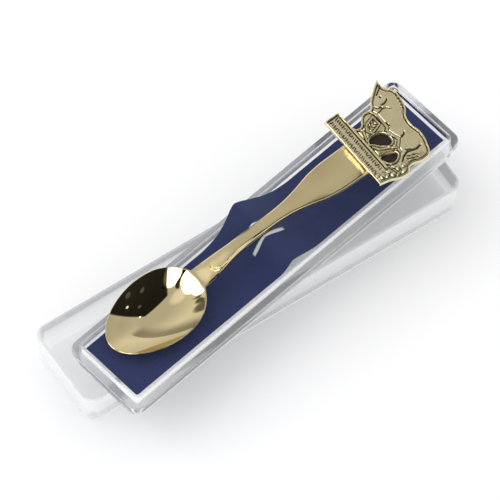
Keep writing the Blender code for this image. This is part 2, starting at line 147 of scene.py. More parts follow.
CUT_LINES = (                         # engraved lines: half width, then points (p, q)
    (0.16, (1.2, 21.2), (2.2, 19.7), (3.1, 18.1)),
    (0.20, (6.1, 19.9), (6.7, 19.0), (6.9, 18.0), (6.7, 17.2)),
    (0.18, (6.0, 15.1), (6.9, 15.6), (7.3, 16.8)),
    (0.14, (7.9, 16.5), (8.3, 17.8), (9.4, 18.8)),
    (0.16, (8.1, 14.7), (8.1, 15.9), (7.6, 16.8)),
    (0.18, (12.1, 14.6), (13.6, 14.8)),
    (0.24, (18.0, 16.9), (18.7, 16.3), (18.9, 15.2)),
    (0.26, (24.5, 18.1), (24.9, 16.4), (23.8, 13.4), (24.5, 11.5), (25.3, 10.3)),
    (0.16, (22.9, 13.5), (23.9, 15.1)),
    (0.12, (24.9, 12.5), (26.3, 15.6)),
    (0.12, (25.7, 11.9), (27.2, 15.2)),
    (0.12, (26.9, 11.7), (27.3, 14.0)),
    (0.30, (4.35, 18.6), (4.45, 18.65)),
    (0.16, (8.9, 12.0), (10.0, 11.2), (10.9, 12.0)),
    (0.16, (9.2, 10.9), (10.3, 10.1), (11.2, 10.9)),
    (0.14, (9.7, 9.9), (10.8, 9.3)),
    (0.14, (25.2, 6.0), (26.6, 8.2), (28.3, 8.4)),
    (0.14, (24.2, 3.4), (25.3, 4.4), (26.7, 4.2)))
RAISED_LINES = (                      # raised lines: half width, then points (p, q)
    (0.32, (6.6, 13.3), (8.6, 13.9), (11.5, 13.9), (13.7, 13.9), (14.3, 13.0), (16.3, 13.4),
     (18.1, 14.0), (18.8, 14.3), (21.0, 12.0), (22.3, 11.8)),
    (0.26, (8.0, 12.6), (8.9, 9.4), (10.6, 8.2), (12.3, 9.0), (11.3, 12.7), (8.0, 12.6)),
    (0.26, (8.3, 6.5), (9.7, 7.4), (11.8, 6.7), (13.2, 6.1)),
    (0.28, (16.0, 6.2), (17.8, 7.4), (19.4, 10.3), (20.6, 11.9)),
    (0.24, (24.6, 6.2), (26.2, 6.6), (27.8, 6.9)))
RIM_HEIGHT = 1.78                     # heights above the plaque's underside
HORSE_FIELD = 1.32
BAR_FIELD = 1.15
LINE_HEIGHT = 1.72
LEAST_HEIGHT = 0.55
BAR_RIM = 0.36                        # rim widths
HORSE_RIM = 0.52
RIM_CUT = 0.28                        # depths of the dark cuts by a rim, by a line and of a groove
LINE_CUT = 0.24
GROOVE_DEPTH = 0.38
STROKE_SIZE = (0.30, 1.25, 0.36)      # one stroke on the bar
STROKE_SLANT = 0.5                    # radians either way
STROKE_ROWS = (1.50, 3.55)            # q of the two rows
STROKE_START = 1.5
STROKE_RUN = 21.4
BEAD_LENGTH = 11.2                    # solder bead
BEAD_RADIUS = 0.45
BEAD_STEPS = 72
BEAD_SIDES = 20
LUMPS = (                             # leaves and grass: p, q, radius, rise
    (24.1, 1.4, 0.8, 0.5), (25.4, 2.3, 0.9, 0.5), (26.3, 3.6, 0.8, 0.55), (25.1, 4.6, 0.8, 0.45),
    (26.9, 5.4, 0.9, 0.55), (27.9, 6.6, 0.8, 0.5), (26.3, 7.6, 0.9, 0.55), (28.2, 8.6, 0.8, 0.5),
    (26.6, 9.8, 0.8, 0.5), (7.6, 22.5, 0.5, 0.3), (8.8, 22.4, 0.5, 0.3), (9.9, 22.2, 0.5, 0.3),
    (10.9, 21.8, 0.5, 0.3))


# ---------------------------------------------------------------- settings

class CaseSettings(PropertyGroup):
    """Clear case and its flocked card."""
    plastic_tint: FloatVectorProperty(name="Plastic tint", description="Colour of the clear plastic",
                                      subtype="COLOR", size=3, default=(0.965, 0.970, 0.975))
    flock_colour: FloatVectorProperty(name="Flock colour", description="Colour of the flocked card",
                                      subtype="COLOR", size=3, default=(0.031, 0.041, 0.112))
    card_thickness: FloatProperty(name="Card thickness", description="Thickness of the card",
                                  default=0.5 * MM, unit="LENGTH")
    fibre_density: FloatProperty(name="Fibre density", description="Flock fibres in each square metre",
                                 default=4.0e6)
    fibre_length: FloatProperty(name="Fibre length", description="Length of one flock fibre",
                                default=0.32 * MM, unit="LENGTH")
    seed: IntProperty(name="Seed", description="Which random flock is laid", default=7)


class SpoonSettings(PropertyGroup):
    """Gilt spoon with its struck plaque."""
    gold_colour: FloatVectorProperty(name="Gold", description="Colour of the polished plating",
                                     subtype="COLOR", size=3, default=(0.80, 0.67, 0.38))
    antique_colour: FloatVectorProperty(name="Antique gold", subtype="COLOR", size=3,
                                        description="Colour of the plaque's high parts",
                                        default=(0.85, 0.755, 0.48))
    recess_colour: FloatVectorProperty(name="Recess", description="Colour left in the plaque's cuts",
                                       subtype="COLOR", size=3, default=(0.016, 0.010, 0.005))
    relief_step: FloatProperty(name="Relief step", description="Distance between points of the relief",
                               default=0.20 * MM, unit="LENGTH")
    stroke_count: IntProperty(name="Bar strokes", description="Strokes in each row of the bar", default=27)
    seed: IntProperty(name="Seed", description="Which random strokes stand on the bar", default=4)


class StageSettings(PropertyGroup):
    """Floor, light and camera."""
    floor_colour: FloatVectorProperty(name="Floor", description="Colour of the floor", subtype="COLOR",
                                      size=3, default=(0.93, 0.93, 0.94))
    camera_azimuth: FloatProperty(name="Camera azimuth", description="Direction the camera looks in",
                                  default=math.radians(-43.6), subtype="ANGLE")
    camera_elevation: FloatProperty(name="Camera elevation", description="How far down the camera looks",
                                    default=math.radians(60.7), subtype="ANGLE")
    camera_distance: FloatProperty(name="Camera distance", description="Distance from camera to target",
                                   default=4.0, unit="LENGTH")
    view_width: FloatProperty(name="View width", description="Width seen at the target",
                              default=0.154, unit="LENGTH")


# ---------------------------------------------------------------- curves and numbers

def spline_value(stations, x, column):
    """Read a smooth curve through a table's rows: column by column 0, without overshoot."""
    if x <= stations[0][0]:
        return stations[0][column]
    if x >= stations[-1][0]:
        return stations[-1][column]
    last = len(stations) - 1
    i = max(k for k in range(last) if stations[k][0] <= x)
    x0, x1 = stations[i][0], stations[i + 1][0]
    y0, y1 = stations[i][column], stations[i + 1][column]

    def slope(k):
        if k in (0, last):
            return 0.0
        before = (stations[k][column] - stations[k - 1][column]) / (stations[k][0] - stations[k - 1][0])
        after = (stations[k + 1][column] - stations[k][column]) / (stations[k + 1][0] - stations[k][0])
        return 0.0 if before * after <= 0.0 else 2.0 * before * after / (before + after)

    t = (x - x0) / (x1 - x0)
    h = x1 - x0
    return ((2 * t**3 - 3 * t**2 + 1) * y0 + (t**3 - 2 * t**2 + t) * h * slope(i)
            + (3 * t**2 - 2 * t**3) * y1 + (t**3 - t**2) * h * slope(i + 1))


def smoothstep(low, high, value):
    """0 below low, 1 above high, smooth between; takes numbers or arrays."""
    t = np.clip((value - low) / (high - low), 0.0, 1.0)
    return t * t * (3.0 - 2.0 * t)


def path_distance(points, path, closed=False):
    """Distance from each point to a polyline."""
    corners = np.array(path, float)
    ends = np.roll(corners, -1, axis=0) if closed else corners[1:]
    starts = corners if closed else corners[:-1]
    nearest = np.full(len(points), 1e9)
    for a, b in zip(starts, ends):
        ab = b - a
        t = np.clip((points - a) @ ab / max(ab @ ab, 1e-12), 0.0, 1.0)
        nearest = np.minimum(nearest, np.linalg.norm(points - a - t[:, None] * ab, axis=1))
    return nearest


def inside_polygon(points, polygon):
    """Which points lie inside a closed outline."""
    x, y = points[:, 0], points[:, 1]
    inside = np.zeros(len(points), bool)
    for (x0, y0), (x1, y1) in zip(polygon, np.roll(polygon, -1, axis=0)):
        crosses = (y0 > y) != (y1 > y)
        with np.errstate(divide="ignore", invalid="ignore"):
            at = (x1 - x0) * (y - y0) / (y1 - y0) + x0
        inside ^= crosses & (x < at)
    return inside


# ---------------------------------------------------------------- meshes and objects

def add_object(name, mesh, *materials):
    """Link a mesh as an object at the origin with its materials."""
    item = bpy.data.objects.new(name, mesh)
    bpy.context.scene.collection.objects.link(item)
    for material in materials:
        mesh.materials.append(material)
    return item


def mesh_of(bm, name, angle=None):
    """Turn a bmesh into a mesh with its faces out, smooth where asked."""
    bmesh.ops.recalc_face_normals(bm, faces=bm.faces)
    mesh = bpy.data.meshes.new(name)
    bm.to_mesh(mesh)
    bm.free()
    if angle is not None:
        mesh.shade_smooth()
        mesh.set_sharp_from_angle(angle=math.radians(angle))
    return mesh


def finished(item):
    """Make an object's modifiers part of its mesh, and return the plain object."""
    graph = bpy.context.evaluated_depsgraph_get()
    mesh = bpy.data.meshes.new_from_object(item.evaluated_get(graph))
    name, old = item.name, item.data
    bpy.data.objects.remove(item, do_unlink=True)
    bpy.data.meshes.remove(old)
    mesh.name = name
    return add_object(name, mesh)


def place(piece, node, body):
    """Say which body a piece rides on, and hide the node that it stands for."""
    if node is not None:
        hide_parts(node)
    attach(piece, body)


# ---------------------------------------------------------------- shader building blocks

def new_group(name, inputs, outputs):
    """An empty shader group with named sockets; returns the tree and its two ends."""
    tree = bpy.data.node_groups.new(name, "ShaderNodeTree")
    for label, kind, default in inputs:
        socket = tree.interface.new_socket(label, in_out="INPUT", socket_type=kind)
        if default is not None:
            socket.default_value = default
    for label, kind in outputs:
        tree.interface.new_socket(label, in_out="OUTPUT", socket_type=kind)
    return tree, tree.nodes.new("NodeGroupInput"), tree.nodes.new("NodeGroupOutput")


def node(tree, kind, **settings):
    """Add a node: settings are its properties, and values go to the inputs that they name."""
    made = tree.nodes.new(kind)
    values = settings.pop("values", {})
    for key, value in settings.items():
        setattr(made, key, value)
    for key, value in values.items():
        made.inputs[key].default_value = value
    return made


def math_node(tree, operation, a, b):
    """A Math node fed by sockets or numbers; returns its output."""
    made = node(tree, "ShaderNodeMath", operation=operation)
    for socket, value in zip(made.inputs, (a, b)):
        if isinstance(value, (int, float)):
            socket.default_value = value
        else:
            tree.links.new(value, socket)
    return made.outputs[0]


def ramp(tree, value, stops):
    """A colour ramp of grey or coloured stops; returns its colour output."""
    made = tree.nodes.new("ShaderNodeValToRGB")
    elements = made.color_ramp.elements
    while len(elements) < len(stops):
        elements.new(0.5)
    for element, (position, colour) in zip(elements, stops):
        element.position = position
        element.color = (*colour, 1.0) if isinstance(colour, tuple) else (colour, colour, colour, 1.0)
    tree.links.new(value, made.inputs["Fac"])
    return made.outputs["Color"]


def mix_colour(tree, factor, a, b):
    """A colour Mix node fed by sockets or colours; returns its output."""
    made = node(tree, "ShaderNodeMix", data_type="RGBA")
    colours = [socket for socket in made.inputs if socket.type == "RGBA"]
    for socket, value in zip((made.inputs[0], *colours), (factor, a, b)):
        if isinstance(value, (int, float)):
            socket.default_value = value
        elif isinstance(value, tuple):
            socket.default_value = (*value, 1.0)
        else:
            tree.links.new(value, socket)
    return [s for s in made.outputs if s.type == "RGBA"][0]


def hairline_group():
    """Fine handling scratches: a mask of thin crossing lines."""
    found = bpy.data.node_groups.get("hairline_scratches")
    if found:
        return found
    tree, start, end = new_group("hairline_scratches",
                                 [("Vector", "NodeSocketVector", None), ("Scale", "NodeSocketFloat", 300.0),
                                  ("Amount", "NodeSocketFloat", 1.0)],
                                 [("Mask", "NodeSocketFloat")])
    masks = []
    for turn, stretch in ((0.5, 14.0), (2.1, 18.0)):
        mapping = node(tree, "ShaderNodeMapping", values={"Rotation": (0.2, 0.1, turn),
                                                          "Scale": (1.0, stretch, stretch)})
        tree.links.new(start.outputs["Vector"], mapping.inputs["Vector"])
        noise = node(tree, "ShaderNodeTexNoise", values={"Detail": 2.0, "Roughness": 0.5})
        tree.links.new(mapping.outputs["Vector"], noise.inputs["Vector"])
        tree.links.new(start.outputs["Scale"], noise.inputs["Scale"])
        masks.append(ramp(tree, noise.outputs["Fac"], ((0.0, 0.0), (0.68, 0.0), (0.74, 1.0))))
    both = math_node(tree, "MAXIMUM", masks[0], masks[1])
    tree.links.new(math_node(tree, "MULTIPLY", both, start.outputs["Amount"]), end.inputs["Mask"])
    return tree


def smudge_group():
    """Soft patches where a surface has been handled or has tarnished."""
    found = bpy.data.node_groups.get("soft_smudges")
    if found:
        return found
    tree, start, end = new_group("soft_smudges",
                                 [("Vector", "NodeSocketVector", None), ("Scale", "NodeSocketFloat", 90.0),
                                  ("Contrast", "NodeSocketFloat", 1.0)],
                                 [("Mask", "NodeSocketFloat"), ("Grain", "NodeSocketFloat")])
    broad = node(tree, "ShaderNodeTexNoise", values={"Detail": 4.0, "Roughness": 0.55, "Distortion": 0.4})
    fine = node(tree, "ShaderNodeTexNoise", values={"Detail": 2.0})
    for noise in (broad, fine):
        tree.links.new(start.outputs["Vector"], noise.inputs["Vector"])
    tree.links.new(start.outputs["Scale"], broad.inputs["Scale"])
    tree.links.new(math_node(tree, "MULTIPLY", start.outputs["Scale"], 14.0), fine.inputs["Scale"])
    shape = ramp(tree, broad.outputs["Fac"], ((0.30, 0.0), (0.72, 1.0)))
    tree.links.new(math_node(tree, "MULTIPLY", shape, start.outputs["Contrast"]), end.inputs["Mask"])
    tree.links.new(fine.outputs["Fac"], end.inputs["Grain"])
    return tree


def new_material(name):
    """A new material, its tree, its Principled shader and its object coordinates."""
    material = bpy.data.materials.new(name)
    material.use_nodes = True
    tree = material.node_tree
    shader = tree.nodes["Principled BSDF"]
    place_of = tree.nodes.new("ShaderNodeTexCoord").outputs["Object"]
    return material, tree, shader, place_of


def use_group(tree, group, vector, **values):
    """Put a shader group into a material."""
    made = tree.nodes.new("ShaderNodeGroup")
    made.node_tree = group
    tree.links.new(vector, made.inputs["Vector"])
    for key, value in values.items():
        made.inputs[key].default_value = value
    return made


def between(tree, mask, low, high):
    """A value that goes from low to high with a mask."""
    made = node(tree, "ShaderNodeMapRange", values={"To Min": low, "To Max": high})
    tree.links.new(mask, made.inputs["Value"])
    return made.outputs["Result"]


def add_bump(tree, shader, height, strength, distance):
    """Bump a shader's normal by a height."""
    bump = node(tree, "ShaderNodeBump", values={"Strength": strength, "Distance": distance})
    tree.links.new(height, bump.inputs["Height"])
    tree.links.new(bump.outputs["Normal"], shader.inputs["Normal"])


# ---------------------------------------------------------------- materials

def gold_plate(colour):
    """Bright gold plating, mirror bright in the bowl and a little softer on the handle."""
    material, tree, shader, place_of = new_material("gold_plate")
    scratches = use_group(tree, hairline_group(), place_of, Scale=420.0, Amount=1.0)
    smudges = use_group(tree, smudge_group(), place_of, Scale=70.0, Contrast=1.0)
    satin = node(tree, "ShaderNodeAttribute", attribute_name="satin")
    colour_out = mix_colour(tree, between(tree, smudges.outputs["Mask"], 0.0, 0.35), tuple(colour),
                            (colour[0] * 0.93, colour[1] * 0.88, colour[2] * 0.78))
    tree.links.new(colour_out, shader.inputs["Base Color"])
    shader.inputs["Metallic"].default_value = 1.0
    base = between(tree, satin.outputs["Fac"], 0.035, 0.17)
    rough = math_node(tree, "ADD", base, between(tree, smudges.outputs["Mask"], 0.0, 0.025))
    rough = math_node(tree, "ADD", rough, between(tree, scratches.outputs["Mask"], 0.0, 0.05))
    tree.links.new(rough, shader.inputs["Roughness"])
    add_bump(tree, shader, scratches.outputs["Mask"], 0.03, 0.02 * MM)
    return material


def antique_gold(colour, recess):
    """Struck gold with a dark finish left in the cuts and rubbed off the high parts."""
    material, tree, shader, place_of = new_material("antique_gold")
    scratches = use_group(tree, hairline_group(), place_of, Scale=500.0, Amount=1.0)
    smudges = use_group(tree, smudge_group(), place_of, Scale=260.0, Contrast=1.0)
    cut = node(tree, "ShaderNodeAttribute", attribute_name="cut")
    edge = math_node(tree, "ADD", cut.outputs["Fac"], between(tree, smudges.outputs["Grain"], -0.12, 0.12))
    mask = ramp(tree, edge, ((0.28, 0.0), (0.62, 1.0)))
    high = mix_colour(tree, between(tree, smudges.outputs["Mask"], 0.0, 0.6), tuple(colour),
                      (colour[0] * 0.82, colour[1] * 0.80, colour[2] * 0.70))
    tree.links.new(mix_colour(tree, mask, high, tuple(recess)), shader.inputs["Base Color"])
    tree.links.new(between(tree, mask, 1.0, 0.15), shader.inputs["Metallic"])
    rough = math_node(tree, "ADD", between(tree, mask, 0.26, 0.62),
                      between(tree, scratches.outputs["Mask"], 0.0, 0.1))
    tree.links.new(rough, shader.inputs["Roughness"])
    add_bump(tree, shader, smudges.outputs["Grain"], 0.25, 0.03 * MM)
    return material


def plated_solder():
    """The plated solder line: yellower, with a rippled skin."""
    material, tree, shader, place_of = new_material("plated_solder")
    smudges = use_group(tree, smudge_group(), place_of, Scale=420.0, Contrast=1.0)
    colour = mix_colour(tree, smudges.outputs["Mask"], (0.98, 0.86, 0.50), (0.92, 0.76, 0.38))
    tree.links.new(colour, shader.inputs["Base Color"])
    shader.inputs["Metallic"].default_value = 1.0
    tree.links.new(between(tree, smudges.outputs["Mask"], 0.16, 0.30), shader.inputs["Roughness"])
    add_bump(tree, shader, smudges.outputs["Mask"], 0.5, 0.08 * MM)
    return material


def blue_flock(colour):
    """Navy flock: short dense fibres with a soft sheen and brushed patches."""
    material, tree, shader, place_of = new_material("blue_flock")
    smudges = use_group(tree, smudge_group(), place_of, Scale=60.0, Contrast=1.0)
    grain = node(tree, "ShaderNodeTexNoise", values={"Scale": 3200.0, "Detail": 3.0, "Roughness": 0.7})
    tree.links.new(place_of, grain.inputs["Vector"])
    brushed = mix_colour(tree, between(tree, smudges.outputs["Mask"], 0.0, 0.5), tuple(colour),
                         tuple(c * 1.3 + 0.002 for c in colour))
    speck = mix_colour(tree, between(tree, grain.outputs["Fac"], 0.0, 0.55), brushed,
                       tuple(c * 0.62 for c in colour))
    tree.links.new(speck, shader.inputs["Base Color"])
    shader.inputs["Roughness"].default_value = 0.95
    shader.inputs["Specular IOR Level"].default_value = 0.15
    shader.inputs["Sheen Weight"].default_value = 0.25
    shader.inputs["Sheen Roughness"].default_value = 0.5
    shader.inputs["Sheen Tint"].default_value = (0.45, 0.52, 0.85, 1.0)
    add_bump(tree, shader, grain.outputs["Fac"], 0.6, 0.12 * MM)
    return material


def grey_board():
    """Grey pulp board seen on the card's underside and cut edges."""
    material, tree, shader, place_of = new_material("grey_board")
    smudges = use_group(tree, smudge_group(), place_of, Scale=500.0, Contrast=1.0)
    colour = mix_colour(tree, smudges.outputs["Mask"], (0.30, 0.33, 0.28), (0.21, 0.24, 0.20))
    tree.links.new(colour, shader.inputs["Base Color"])
    shader.inputs["Roughness"].default_value = 0.85
    add_bump(tree, shader, smudges.outputs["Grain"], 0.4, 0.05 * MM)
    return material


def clear_plastic(name, tint, scale):
    """Clear moulded polystyrene with faint flow marks and handling scratches.

    Shadow and diffuse rays pass it straight, and so does a ray that has met two faces already, so
    that walls behind walls stay clear.
    """
    material, tree, shader, place_of = new_material(name)
    scratches = use_group(tree, hairline_group(), place_of, Scale=scale, Amount=1.0)
    smudges = use_group(tree, smudge_group(), place_of, Scale=45.0, Contrast=1.0)
    colour = mix_colour(tree, smudges.outputs["Mask"], tuple(tint), tuple(c * 0.985 for c in tint))
    tree.links.new(colour, shader.inputs["Base Color"])
    shader.inputs["Transmission Weight"].default_value = 1.0
    shader.inputs["IOR"].default_value = PLASTIC_IOR
    rough = math_node(tree, "ADD", between(tree, smudges.outputs["Mask"], 0.02, 0.05),
                      between(tree, scratches.outputs["Mask"], 0.0, 0.12))
    tree.links.new(rough, shader.inputs["Roughness"])
    add_bump(tree, shader, smudges.outputs["Mask"], 0.08, 0.06 * MM)
    clear = node(tree, "ShaderNodeBsdfTransparent", values={"Color": PASSING_TINT})
    rays = tree.nodes.new("ShaderNodeLightPath")
    mix = tree.nodes.new("ShaderNodeMixShader")
    passing = math_node(tree, "MAXIMUM", rays.outputs["Is Shadow Ray"], rays.outputs["Is Diffuse Ray"])
    deep = math_node(tree, "GREATER_THAN", rays.outputs["Ray Depth"], BENDING_FACES - 0.5)
    passing = math_node(tree, "MAXIMUM", passing, deep)
    tree.links.new(passing, mix.inputs[0])
    tree.links.new(shader.outputs[0], mix.inputs[1])
    tree.links.new(clear.outputs[0], mix.inputs[2])
    tree.links.new(mix.outputs[0], tree.nodes["Material Output"].inputs["Surface"])
    return material


def pale_floor(colour):
    """Matt pale floor with a very faint tooth."""
    material, tree, shader, place_of = new_material("pale_floor")
    smudges = use_group(tree, smudge_group(), place_of, Scale=12.0, Contrast=1.0)
    shade = mix_colour(tree, smudges.outputs["Mask"], tuple(colour), tuple(c * 0.995 for c in colour))
    tree.links.new(shade, shader.inputs["Base Color"])
    shader.inputs["Roughness"].default_value = 0.8
    shader.inputs["Specular IOR Level"].default_value = 0.2
    return material


# ---------------------------------------------------------------- clear case

def rounded_profile(profile, steps=4):
    """Round each corner of a wall's profile; rows are half width, height, corner radius."""
    made = []
    for i, (s, z, corner, rounding) in enumerate(profile):
        here = Vector((s, z, corner))
        floor_point = Vector((s - FLOOR_REACH, z, corner))
        before = Vector(profile[i - 1][:3]) if i else floor_point
        after = Vector(profile[i + 1][:3]) if i + 1 < len(profile) else floor_point
        reach_in = here + (before - here) * min(0.45, rounding / (before - here).xy.length)
        reach_out = here + (after - here) * min(0.45, rounding / (after - here).xy.length)
        for k in range(steps + 1):
            t = k / steps
            made.append(reach_in * (1 - t) ** 2 + here * 2 * t * (1 - t) + reach_out * t ** 2)
    return made


def rounded_ring(bm, half_width, extra, z, corner, place_at):
    """One level of the wall: a rectangle with round corners, as a ring of points."""
    arc_steps, side_steps = 8, 6
    half_length = half_width + extra
    ring = []
    for cx, cy, start in ((1, 1, 0), (-1, 1, 90), (-1, -1, 180), (1, -1, 270)):
        for k in range(arc_steps + 1):
            angle = math.radians(start + 90.0 * k / arc_steps)
            ring.append((cx * (half_length - corner) + corner * math.cos(angle),
                         cy * (half_width - corner) + corner * math.sin(angle)))
    points = []
    for a, b in zip(ring, ring[1:] + ring[:1]):
        steps = side_steps if abs(a[0] - b[0]) + abs(a[1] - b[1]) > 2.0 * corner else 1
        points += [(a[0] + (b[0] - a[0]) * k / steps, a[1] + (b[1] - a[1]) * k / steps)
                   for k in range(steps)]
    return [bm.verts.new(place_at @ Vector((x * MM, y * MM, z * MM))) for x, y in points]


def wall_mesh(name, profile, extra, place_at):
    """A tub's closed mesh: rings of its profile joined, with its floor inside and out."""
    bm = bmesh.new()
    rings = [rounded_ring(bm, s, extra, z, corner, place_at) for s, z, corner in rounded_profile(profile)]
    count = len(rings[0])
    for low, high in zip(rings, rings[1:]):
        for k in range(count):
            bm.faces.new((low[k], low[(k + 1) % count], high[(k + 1) % count], high[k]))
    bm.faces.new(rings[0])
    bm.faces.new(rings[-1])
    return mesh_of(bm, name, 30.0)


def make_case(settings):
    """The tray and the lid, each a closed shell with rounded edges."""
    lid_at = (Matrix.Translation((LID_CENTRE[0] * MM, LID_CENTRE[1] * MM, 0.0))
              @ Matrix.Rotation(LID_TURN, 4, "Z"))
    lid = add_object("lid_shell", wall_mesh("lid_shell", LID_PROFILE, LID_EXTRA, lid_at),
                     clear_plastic("clear_lid_plastic", settings.plastic_tint, 160.0))
    place(lid, "case_lid", "lid")
    tray = add_object("tray_shell", wall_mesh("tray_shell", TRAY_PROFILE, TRAY_EXTRA, Matrix.Identity(4)),
                      clear_plastic("clear_tray_plastic", settings.plastic_tint, 190.0))
    place(tray, "case_tray", "tray")


# ---------------------------------------------------------------- card

def ridge_height(x, y):
    """Height of the ridge above the card's flat: full at the cradle, lower towards -Y."""
    low_notch = CRADLE_CENTRE_Y - NOTCH_WIDTH / 2
    high_notch = CRADLE_CENTRE_Y + NOTCH_WIDTH / 2
    if y < low_notch:
        reach, end = (low_notch - y) / (low_notch + CARD_HALF_WIDTH), RIDGE_RIGHT
    else:
        reach, end = max(0.0, (y - high_notch) / (CARD_HALF_WIDTH - high_notch)), RIDGE_LEFT
    height, crest, spread = (a + (b - a) * reach for a, b in zip((1.0, RIDGE_CREST_X, 1.0), end))
    return height * spline_value(RIDGE_STATIONS, RIDGE_CREST_X + (x - crest) / spread, 1)


def cradle_height(x):
    """The pushed-in strip: straight up from the slits' ends to a round top under the handle."""
    crest = max(row[1] for row in RIDGE_STATIONS) - CRADLE_DROP
    start = CRADLE_START if x <= RIDGE_CREST_X else CRADLE_END
    foot = spline_value(RIDGE_STATIONS, start, 1)
    return foot + (crest - foot) * math.sin((x - start) / (RIDGE_CREST_X - start) * math.pi / 2)


def card_mesh():
    """The card's top surface with its slits open, before it is given its thickness."""
    fine = [RIDGE_STATIONS[0][0] + 0.5 * i for i in range(77)]
    flats = [-CARD_HALF_LENGTH + 4.0 * i for i in range(13)] + [22.0 + 4.0 * i for i in range(11)]
    folds = [-CARD_HALF_LENGTH + 0.25, -CARD_HALF_LENGTH + 0.6, CARD_HALF_LENGTH - 0.6,
             CARD_HALF_LENGTH - 0.25]
    columns = sorted({round(v, 3) for v in fine + flats + folds + [CRADLE_START, CRADLE_END, RIDGE_CREST_X]}
                     | {-CARD_HALF_LENGTH, CARD_HALF_LENGTH})
    low_notch, high_notch = CRADLE_CENTRE_Y - NOTCH_WIDTH / 2, CRADLE_CENTRE_Y + NOTCH_WIDTH / 2
    low_strip, high_strip = CRADLE_CENTRE_Y - CRADLE_WIDTH / 2, CRADLE_CENTRE_Y + CRADLE_WIDTH / 2
    rows = [-CARD_HALF_WIDTH + (low_notch + CARD_HALF_WIDTH) * k / 8 for k in range(8)]
    rows += [low_notch + (low_strip - low_notch) * k / 2 for k in range(2)]
    first = len(rows)
    rows += [low_strip + CRADLE_WIDTH * k / 4 for k in range(4)]
    last = len(rows)
    rows += [high_strip + (high_notch - high_strip) * k / 2 for k in range(2)]
    rows += [high_notch + (CARD_HALF_WIDTH - high_notch) * k / 8 for k in range(9)]
    opening = {first - 2, first - 1, last, last + 1}
    bm = bmesh.new()

    def line_of(x, heights):
        return [bm.verts.new((x * MM, y * MM, h * MM)) for y, h in zip(rows, heights)]

    places = [columns[0]] * 4 + columns + [columns[-1]] * 4
    lines = [line_of(columns[0], [CARD_FOOT + 1.45 * k] * len(rows)) for k in range(4)]
    for x in columns:
        inside = CRADLE_START < x < CRADLE_END
        drop = 0.35 * (1.0 - min(1.0, (CARD_HALF_LENGTH - abs(x)) / 0.6)) ** 2
        lines.append(line_of(x, [CARD_TOP - drop + (cradle_height(x) if inside and first <= k <= last
                                                    else ridge_height(x, y)) for k, y in enumerate(rows)]))
    lines += [line_of(columns[-1], [CARD_FOOT + 1.45 * (3 - k)] * len(rows)) for k in range(4)]
    for i in range(len(lines) - 1):
        slit = places[i] >= CRADLE_START - 1e-4 and places[i + 1] <= CRADLE_END + 1e-4
        for k in range(len(rows) - 1):
            if not (slit and k in opening):
                bm.faces.new((lines[i][k], lines[i + 1][k], lines[i + 1][k + 1], lines[i][k + 1]))
    bmesh.ops.delete(bm, geom=[v for v in bm.verts if not v.link_faces], context="VERTS")
    if max(bm.faces, key=lambda f: f.calc_area()).normal.z < 0:
        bmesh.ops.reverse_faces(bm, faces=bm.faces)
    mesh = bpy.data.meshes.new("flocked_card")
    bm.to_mesh(mesh)
    bm.free()
    return mesh


def add_tree(name, sockets):
    """An empty Geometry Nodes tree with its geometry in and out and its named inputs."""
    tree = bpy.data.node_groups.new(name, "GeometryNodeTree")
    tree.interface.new_socket("Geometry", in_out="INPUT", socket_type="NodeSocketGeometry")
    for label, kind, default in sockets:
        made = tree.interface.new_socket(label, in_out="INPUT", socket_type=kind)
        if default is not None:
            made.default_value = default
    tree.interface.new_socket("Geometry", in_out="OUTPUT", socket_type="NodeSocketGeometry")
    return tree, tree.nodes.new("NodeGroupInput"), tree.nodes.new("NodeGroupOutput")


def end_tree(tree, instances, material, end):
    """Finish a tree: its instances made real, given their material and put out."""
    real = tree.nodes.new("GeometryNodeRealizeInstances")
    tree.links.new(instances, real.inputs["Geometry"])
    paint = tree.nodes.new("GeometryNodeSetMaterial")
    paint.inputs["Material"].default_value = material
    tree.links.new(real.outputs["Geometry"], paint.inputs["Geometry"])
    tree.links.new(paint.outputs["Geometry"], end.inputs["Geometry"])
    return tree


def grown(name, carrier_mesh, tree, values):
    """Run a Geometry Nodes tree on a mesh, and return the plain object it makes."""
    carrier = add_object(name, carrier_mesh)
    modifier = carrier.modifiers.new(name, "NODES")
    modifier.node_group = tree
    identifiers = {s.name: s.identifier for s in tree.interface.items_tree
                   if s.item_type == "SOCKET" and s.in_out == "INPUT"}
    for key, value in values.items():
        modifier[identifiers[key]] = value
    return finished(carrier)


def fibre_tree(material):
    """Short leaning fibres scattered over a surface."""
    tree, start, end = add_tree("flock_fibres", [("Density", "NodeSocketFloat", 1e6),
                                                 ("Length", "NodeSocketFloat", 0.3 * MM),
                                                 ("Seed", "NodeSocketInt", 0)])
    link = tree.links.new
    scatter = node(tree, "GeometryNodeDistributePointsOnFaces", distribute_method="RANDOM")
    link(start.outputs["Geometry"], scatter.inputs["Mesh"])
    link(start.outputs["Density"], scatter.inputs["Density"])
    link(start.outputs["Seed"], scatter.inputs["Seed"])
    fibre = node(tree, "GeometryNodeMeshCone", fill_type="NONE",
                 values={"Vertices": 3, "Radius Top": 0.008 * MM, "Radius Bottom": 0.028 * MM})
    link(start.outputs["Length"], fibre.inputs["Depth"])
    lean = node(tree, "FunctionNodeRandomValue", data_type="FLOAT_VECTOR",
                values={0: (-0.7, -0.7, 0.0), 1: (0.7, 0.7, 6.28)})
    link(start.outputs["Seed"], lean.inputs["Seed"])
    turn = node(tree, "FunctionNodeRotateRotation", rotation_space="LOCAL")
    link(scatter.outputs["Rotation"], turn.inputs["Rotation"])
    link(lean.outputs[0], turn.inputs["Rotate By"])
    put = tree.nodes.new("GeometryNodeInstanceOnPoints")
    link(scatter.outputs["Points"], put.inputs["Points"])
    link(fibre.outputs["Mesh"], put.inputs["Instance"])
    link(turn.outputs[0], put.inputs["Rotation"])
    return end_tree(tree, put.outputs["Instances"], material, end)


